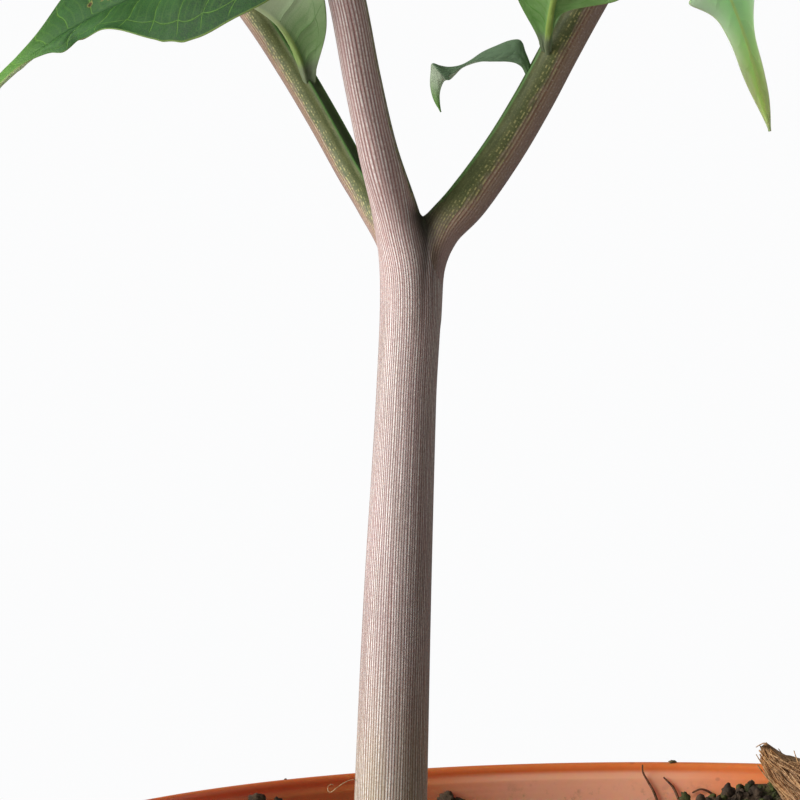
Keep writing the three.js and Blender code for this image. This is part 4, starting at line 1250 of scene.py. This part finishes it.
def soil_height(x, y):
    """The top of the soil without its crumbs."""
    lumps = math.sin(x * 0.11 + 1.3) * math.cos(y * 0.13) + 0.6 * math.sin(x * 0.23 - y * 0.19)
    off = math.hypot((x - SOIL_BANK["x"]) / SOIL_BANK["wide"], (y - SOIL_BANK["y"]) / SOIL_BANK["deep"])
    return SOIL_TOP + SOIL_ROUGHNESS * lumps + SOIL_BANK["height"] * math.exp(-off ** 2)


def crumbly(x, y):
    """The soil's own small lumps, in millimetres."""
    spot = Vector((x, y, 0.0))
    big = noise.fractal(spot * 0.09, 0.9, 2.1, 4)
    small = noise.noise(spot * 0.7)
    return 1.1 * big + 0.5 * small


def ground(x, y):
    """The top of the soil with its crumbs."""
    return soil_height(x, y) + crumbly(x, y)


def wall_radius(height):
    """The pot's inner radius at a height near the top of the soil."""
    (high_r, high_z), (low_r, low_z) = inner_wall()[0], inner_wall()[1]
    return lerp(low_r, high_r, (height - low_z) / (high_z - low_z))


def make_soil(paint):
    """The soil's rough top, its side and its underside."""
    edge = wall_radius(SOIL_TOP) - SOIL_EDGE_GAP
    vertices = []
    for i in range(1, SOIL_RINGS + 1):
        for k in range(SOIL_SIDES):
            x, y = round_point(edge * (i / SOIL_RINGS), 2 * math.pi * (k + 0.5 * (i % 2)) / SOIL_SIDES)
            vertices.append((x, y, ground(x, y)))
    for radius, z in inner_wall()[1:]:
        for k in range(SOIL_SIDES):
            x, y = round_point(radius - SOIL_WALL_GAP, 2 * math.pi * k / SOIL_SIDES)
            vertices.append((x, y, z + SOIL_FLOOR_GAP))
    vertices += [(0, 0, soil_height(0, 0)), (0, 0, inner_wall()[-1][1] + SOIL_FLOOR_GAP)]
    faces = closed_faces(SOIL_RINGS + len(inner_wall()) - 1, SOIL_SIDES)
    settle(mesh_piece("soil_bed", vertices, faces, materials=[paint]), "soil", "soil")


def lump_shapes(count, smoothness):
    """Rough lumps about 1 mm across, as (vertices, triangles)."""
    shapes = []
    for k in range(count):
        bpy.ops.mesh.primitive_ico_sphere_add(subdivisions=smoothness, radius=0.5)
        ball = bpy.context.object
        points = np.array([v.co[:] for v in ball.data.vertices])
        faces = np.array([list(f.vertices) for f in ball.data.polygons])
        bpy.data.objects.remove(ball)
        shift = Vector((k * 7.7, 0, 0))
        bumps = np.array([noise.fractal(Vector(p) * 3.6 + shift, 0.7, 2.2, 5) for p in points])
        shapes.append((points * (1 + 0.42 * bumps[:, None]), faces))
    return shapes


def scatter(shapes, spots):
    """Copies of lumps, each at (x, y, z, size, flatness)."""
    parts = []
    for x, y, z, size, flat in spots:
        points, faces = random.choice(shapes)
        tumble = FULL_TURN if flat >= 0.5 else 0.0
        turn = Euler([random.uniform(0, most) for most in (tumble, tumble, FULL_TURN)]).to_matrix()
        stretch = np.array([random.uniform(0.7, 1.3), random.uniform(0.7, 1.1), flat])
        parts.append(((points * stretch) @ np.array(turn).T * size + np.array([x, y, z]), faces))
    return join(parts)


def soil_spot(low=0.0, high=1.0):
    """A random point on the soil, between two shares of its radius."""
    angle = random.uniform(0, 2 * math.pi)
    x, y = round_point(SPOT_RANGE * math.sqrt(random.uniform(low ** 2, high ** 2)), angle)
    return x, y, ground(x, y)


def bank_spot():
    """A random point on the bank at the back on the right, close to the wall."""
    angle = math.radians(random.gauss(*BANK_ANGLE))
    x, y = round_point(random.uniform(*BANK_RADIUS), angle)
    return x, y, ground(x, y)


def either_spot(share, low, high):
    """A random point, on the bank for a share of the draws and elsewhere on the soil for the others."""
    return bank_spot() if random.random() < share else soil_spot(low, high)


def crumb_size():
    """A random size, mostly a small one."""
    return random.uniform(0.8, 1.6) if random.random() < 0.7 else random.uniform(1.6, 3.4)


def loose_things(count, spot, size, lift, flat, top=math.inf):
    """Lumps as (x, y, z, size, flatness), lifted by a share of their size, but not above a top."""
    things = []
    for _ in range(count):
        x, y, z = spot()
        across = size()
        things.append((x, y, min(z + lift * across, top), across, random.uniform(*flat)))
    return things


def make_crumbs(paint, moss_paint):
    """Loose crumbs all over the soil, clods that are thickest on the bank, and mossy bits among them."""
    fine, coarse = lump_shapes(LUMP_KINDS, 2), lump_shapes(LUMP_KINDS, 3)
    crumbs = loose_things(CRUMBS, soil_spot, crumb_size, 0.15, (0.6, 1))
    settle(mesh_piece("soil_crumbs", *scatter(fine, crumbs), materials=[paint]), "soil")
    clods = loose_things(BANK_CLODS, bank_spot, lambda: random.uniform(0.9, 2.1), 0.1, (0.7, 1), CLOD_TOP)
    clods += loose_things(CLODS, lambda: soil_spot(0.1, 0.97), lambda: random.uniform(2, 3.8),
                          0.1, (0.6, 0.9))
    settle(mesh_piece("soil_clods", *scatter(coarse, clods + PLACED_CLODS), materials=[paint]), "soil")
    moss = loose_things(MOSS_BITS, lambda: either_spot(0.55, 0.2, 0.98), lambda: random.uniform(0.9, 2.6),
                        0.3, (0.6, 1))
    settle(mesh_piece("moss_bits", *scatter(coarse, moss), materials=[moss_paint]), "soil")


def wander(start, heading, climb, length, steps, wave):
    """A path that starts at a point and bends at random."""
    points = [np.array(start, float)]
    for _ in range(steps):
        heading += random.gauss(0, wave)
        climb += random.gauss(0, wave)
        points.append(points[-1] + direction(heading, climb) * length / steps)
    return np.array(points)


def taper(count, radius, tip=0.3):
    """The radii of a fibre that thins towards its tip."""
    return radius * np.linspace(1, tip, count)


def on_wall(x, z, off):
    """A point at the back, off the pot's inner wall."""
    radius = wall_radius(min(z, WALL_TOP)) - off
    return (x, math.sqrt(radius ** 2 - x ** 2), z)


def make_dark_roots(paint):
    """Dark roots up the back of the pot's inner wall, and short ones on the soil."""
    roots = []
    for line in WALL_ROOTS:
        path = along([on_wall(*spot) for spot in line], np.linspace(0, 1, 22))
        roots.append(tube(path, np.linspace(0.16, 0.34, 22), 7))
    for _ in range(LOOSE_ROOTS):
        start = either_spot(0.4, 0.2, 0.95)
        path = wander(start, random.uniform(0, 360), random.uniform(0, 30), random.uniform(5, 12), 14, 11)
        if path[:, 2].max() > ROOT_TOP or np.hypot(path[:, 0], path[:, 1]).max() > ROOT_RANGE:
            continue
        roots.append(tube(path, taper(15, random.uniform(0.14, 0.3)), 5))
    settle(mesh_piece("root_hairs", *join(roots), materials=[paint]), "soil")


def make_pale_fibres(paint):
    """The thin curled fibre by the petiole, and pale ones that lie on the soil."""
    fibres = [tube(along(PALE_CURL, np.linspace(0, 1, 50)), np.full(50, 0.055), 6)]
    for _ in range(LOOSE_FIBRES):
        x, y, z = soil_spot(0.1, 0.96)
        heading, climb, length = random.uniform(0, 360), random.uniform(-3, 18), random.uniform(6, 20)
        path = wander((x, y, z + 0.4), heading, climb, length, 16, 9)
        lowest = np.array([ground(px, py) + 0.25 for px, py, _ in path])
        path[:, 2] = np.maximum(np.minimum(path[:, 2], lowest + 2.0), lowest)
        if np.hypot(path[:, 0], path[:, 1]).max() < FIBRE_RANGE:
            fibres.append(tube(path, taper(17, random.uniform(0.1, 0.22)), 5))
    settle(mesh_piece("pale_fibres", *join(fibres), materials=[paint]), "soil")


# Husk

def husk_edges(height):
    """The husk's left and right edge at a height."""
    edges = (np.array(rows, float) for rows in (HUSK_LEFT, HUSK_RIGHT))
    return [np.interp(height, edge[:, 1], edge[:, 0]) for edge in edges]


def husk_depth(height):
    """Half the husk's thickness at a height."""
    share = np.clip((height - HUSK_SHOULDER) / HUSK_CROWN, 0, 1)
    return HUSK_DEPTH * np.sqrt(np.clip(1 - share ** 2, 0.05, 1))


def make_husk_core(paint):
    """The husk's rough core."""
    rows, columns = HUSK_GRID
    height = np.linspace(HUSK_FOOT, HUSK_TOP, rows)
    left, right = husk_edges(height)
    vertices = []
    for i in range(rows):
        middle, half, thick = (left[i] + right[i]) / 2, (right[i] - left[i]) / 2, husk_depth(height[i])
        for angle in np.linspace(0, 2 * math.pi, columns, endpoint=False):
            c, s = math.cos(angle), math.sin(angle)
            x = middle + (half - 0.5) * math.copysign(abs(c) ** 0.8, c)
            y = 0.5 + thick * math.copysign(abs(s) ** 0.8, s)
            grain = x * 0.86 + height[i] * 0.5
            rough = noise.fractal(Vector((grain * 0.55, y * 0.3, height[i] * 0.09)), 0.9, 2.0, 4)
            pull = 1 - 0.09 * rough
            vertices.append((middle + (x - middle) * pull, y * (1 + 0.16 * rough), height[i] + 0.8 * rough))
    faces = ring_quads(rows, columns, flip=True).tolist() + end_caps(rows, columns)
    settle(mesh_piece("husk_core", vertices, faces, materials=[paint]), "husk", "husk_chunk")


def husk_strand():
    """The path of a strand down the husk's front or back; some fray at the top."""
    share = random.uniform(0.0, 0.98)
    front = -1 if random.random() < 0.6 else 1
    low = random.uniform(168, 200)
    brow = np.interp(share, [0, 0.2, 1], [208, 208.8, 204]) + random.uniform(-1.5, 0.8)
    heights = np.linspace(low, min(low + random.uniform(8, 26), brow), STRAND_STEPS)
    left, right = husk_edges(np.clip(heights, HUSK_FOOT, HUSK_TOP - 1))
    drift = share + np.linspace(0, random.gauss(0, 0.05), STRAND_STEPS)
    x = left + (right - left) * np.clip(drift, 0.01, 0.99)
    bulge = np.sqrt(np.clip(1 - (2 * np.clip(drift, 0, 1) - 1) ** 2, 0.02, 1))
    y = 0.5 + front * (husk_depth(heights) * bulge ** 0.8 + random.uniform(-0.1, 0.35))
    wobble = 0.25 * np.sin(np.linspace(0, random.uniform(3, 9), STRAND_STEPS) + random.uniform(0, 6))
    path = np.stack([x + wobble, y + 0.5 * wobble * front, heights], -1)
    if heights[-1] > 204 and random.random() < 0.5:
        fray = np.linspace(0, 1, STRAND_STEPS)[:, None] ** 3
        pull = [random.gauss(0, 0.9), random.gauss(0, 0.9), random.uniform(-0.2, 0.8)]
        path = path + fray * np.array([pull])
    return path


def make_husk():
    """A chunk of coir husk: a core wrapped in strands of two colours, with a few stray fibres at its top."""
    make_husk_core(fibre_paint("husk_body"))
    strands = [[], []]
    for k in range(STRANDS):
        strands[k % 2].append(tube(husk_strand(), taper(STRAND_STEPS, random.uniform(0.12, 0.32), 0.45), 5))
    for line in STRAY_FIBRES:
        path = along(line, np.linspace(0, 1, STRAND_STEPS))
        strands[0].append(tube(path, taper(STRAND_STEPS, 0.14, 0.5), 6))
    for name, parts in zip(("husk_strand", "husk_fibre"), strands):
        settle(mesh_piece(name + "s", *join(parts), materials=[fibre_paint(name)]), "husk")


# Stage

def make_floor():
    """A round floor just below the pot."""
    profile = [(0, FLOOR_BOTTOM), (FLOOR_RADIUS, FLOOR_BOTTOM), (FLOOR_RADIUS, FLOOR_TOP), (0, FLOOR_TOP)]
    vertices, faces = lathe(profile, FLOOR_SIDES)
    mesh_piece("floor", vertices, faces, materials=[floor_paint()], smooth_faces=False)


def soft_light(name, place, target, size, power, colour):
    """A rectangular lamp that faces its target."""
    data = bpy.data.lights.new(name, "AREA")
    data.shape = "RECTANGLE"
    data.size, data.size_y = size
    data.energy = power
    data.color = colour
    lamp = bpy.data.objects.new(name, data)
    lamp.location = place
    lamp.rotation_euler = (Vector(target) - Vector(place)).to_track_quat("-Z", "Y").to_euler()
    bpy.context.scene.collection.objects.link(lamp)


def make_light():
    """A large window at the left, weak fills at the right and in front, and a white backdrop."""
    for light in LIGHTS:
        soft_light(*light)
    world = bpy.data.worlds.new("studio")
    bpy.context.scene.world = world
    world.use_nodes = True
    nodes, links = world.node_tree.nodes, world.node_tree.links
    nodes.clear()
    path = nodes.new("ShaderNodeLightPath")
    seen, lit = nodes.new("ShaderNodeBackground"), nodes.new("ShaderNodeBackground")
    seen.inputs["Color"].default_value = BACKDROP_COLOUR
    lit.inputs["Color"].default_value = SKY_COLOUR
    lit.inputs["Strength"].default_value = SKY_STRENGTH
    both = nodes.new("ShaderNodeMixShader")
    output = nodes.new("ShaderNodeOutputWorld")
    links.new(path.outputs["Is Camera Ray"], both.inputs[0])
    links.new(lit.outputs[0], both.inputs[1])
    links.new(seen.outputs[0], both.inputs[2])
    links.new(both.outputs[0], output.inputs[0])


def make_camera():
    """The photograph's view: close to the petiole, a little down."""
    data = bpy.data.cameras.new("camera")
    data.lens = CAMERA_LENS
    data.sensor_width = CAMERA_SENSOR
    data.clip_start = 0.02
    camera = bpy.data.objects.new("camera", data)
    camera.location = CAMERA_PLACE
    camera.rotation_euler = (math.radians(CAMERA_TILT), 0, 0)
    bpy.context.scene.collection.objects.link(camera)
    bpy.context.scene.camera = camera
    bpy.context.scene.view_settings.view_transform = "Standard"


make_camera()
make_light()
make_floor()
make_petiole()
leaf_paints = {
    kind: [leaf_paint(kind + "_upper", False, kind), leaf_paint(kind + "_under", True, kind)]
    for kind in ("grown", "lush", "young", "curled")
}
for number, (node, row) in enumerate(LEAFLETS.items()):
    make_leaflet(node, row, number, leaf_paints)
make_pot()
earth = earth_paint("earth", tint(54, 43, 34), tint(90, 73, 56), 0.5)
make_soil(earth)
make_crumbs(earth, earth_paint("moss", tint(50, 52, 28), tint(80, 86, 42), 0.8))
make_dark_roots(fibre_paint("root_dark"))
make_pale_fibres(fibre_paint("root_pale"))
make_husk()
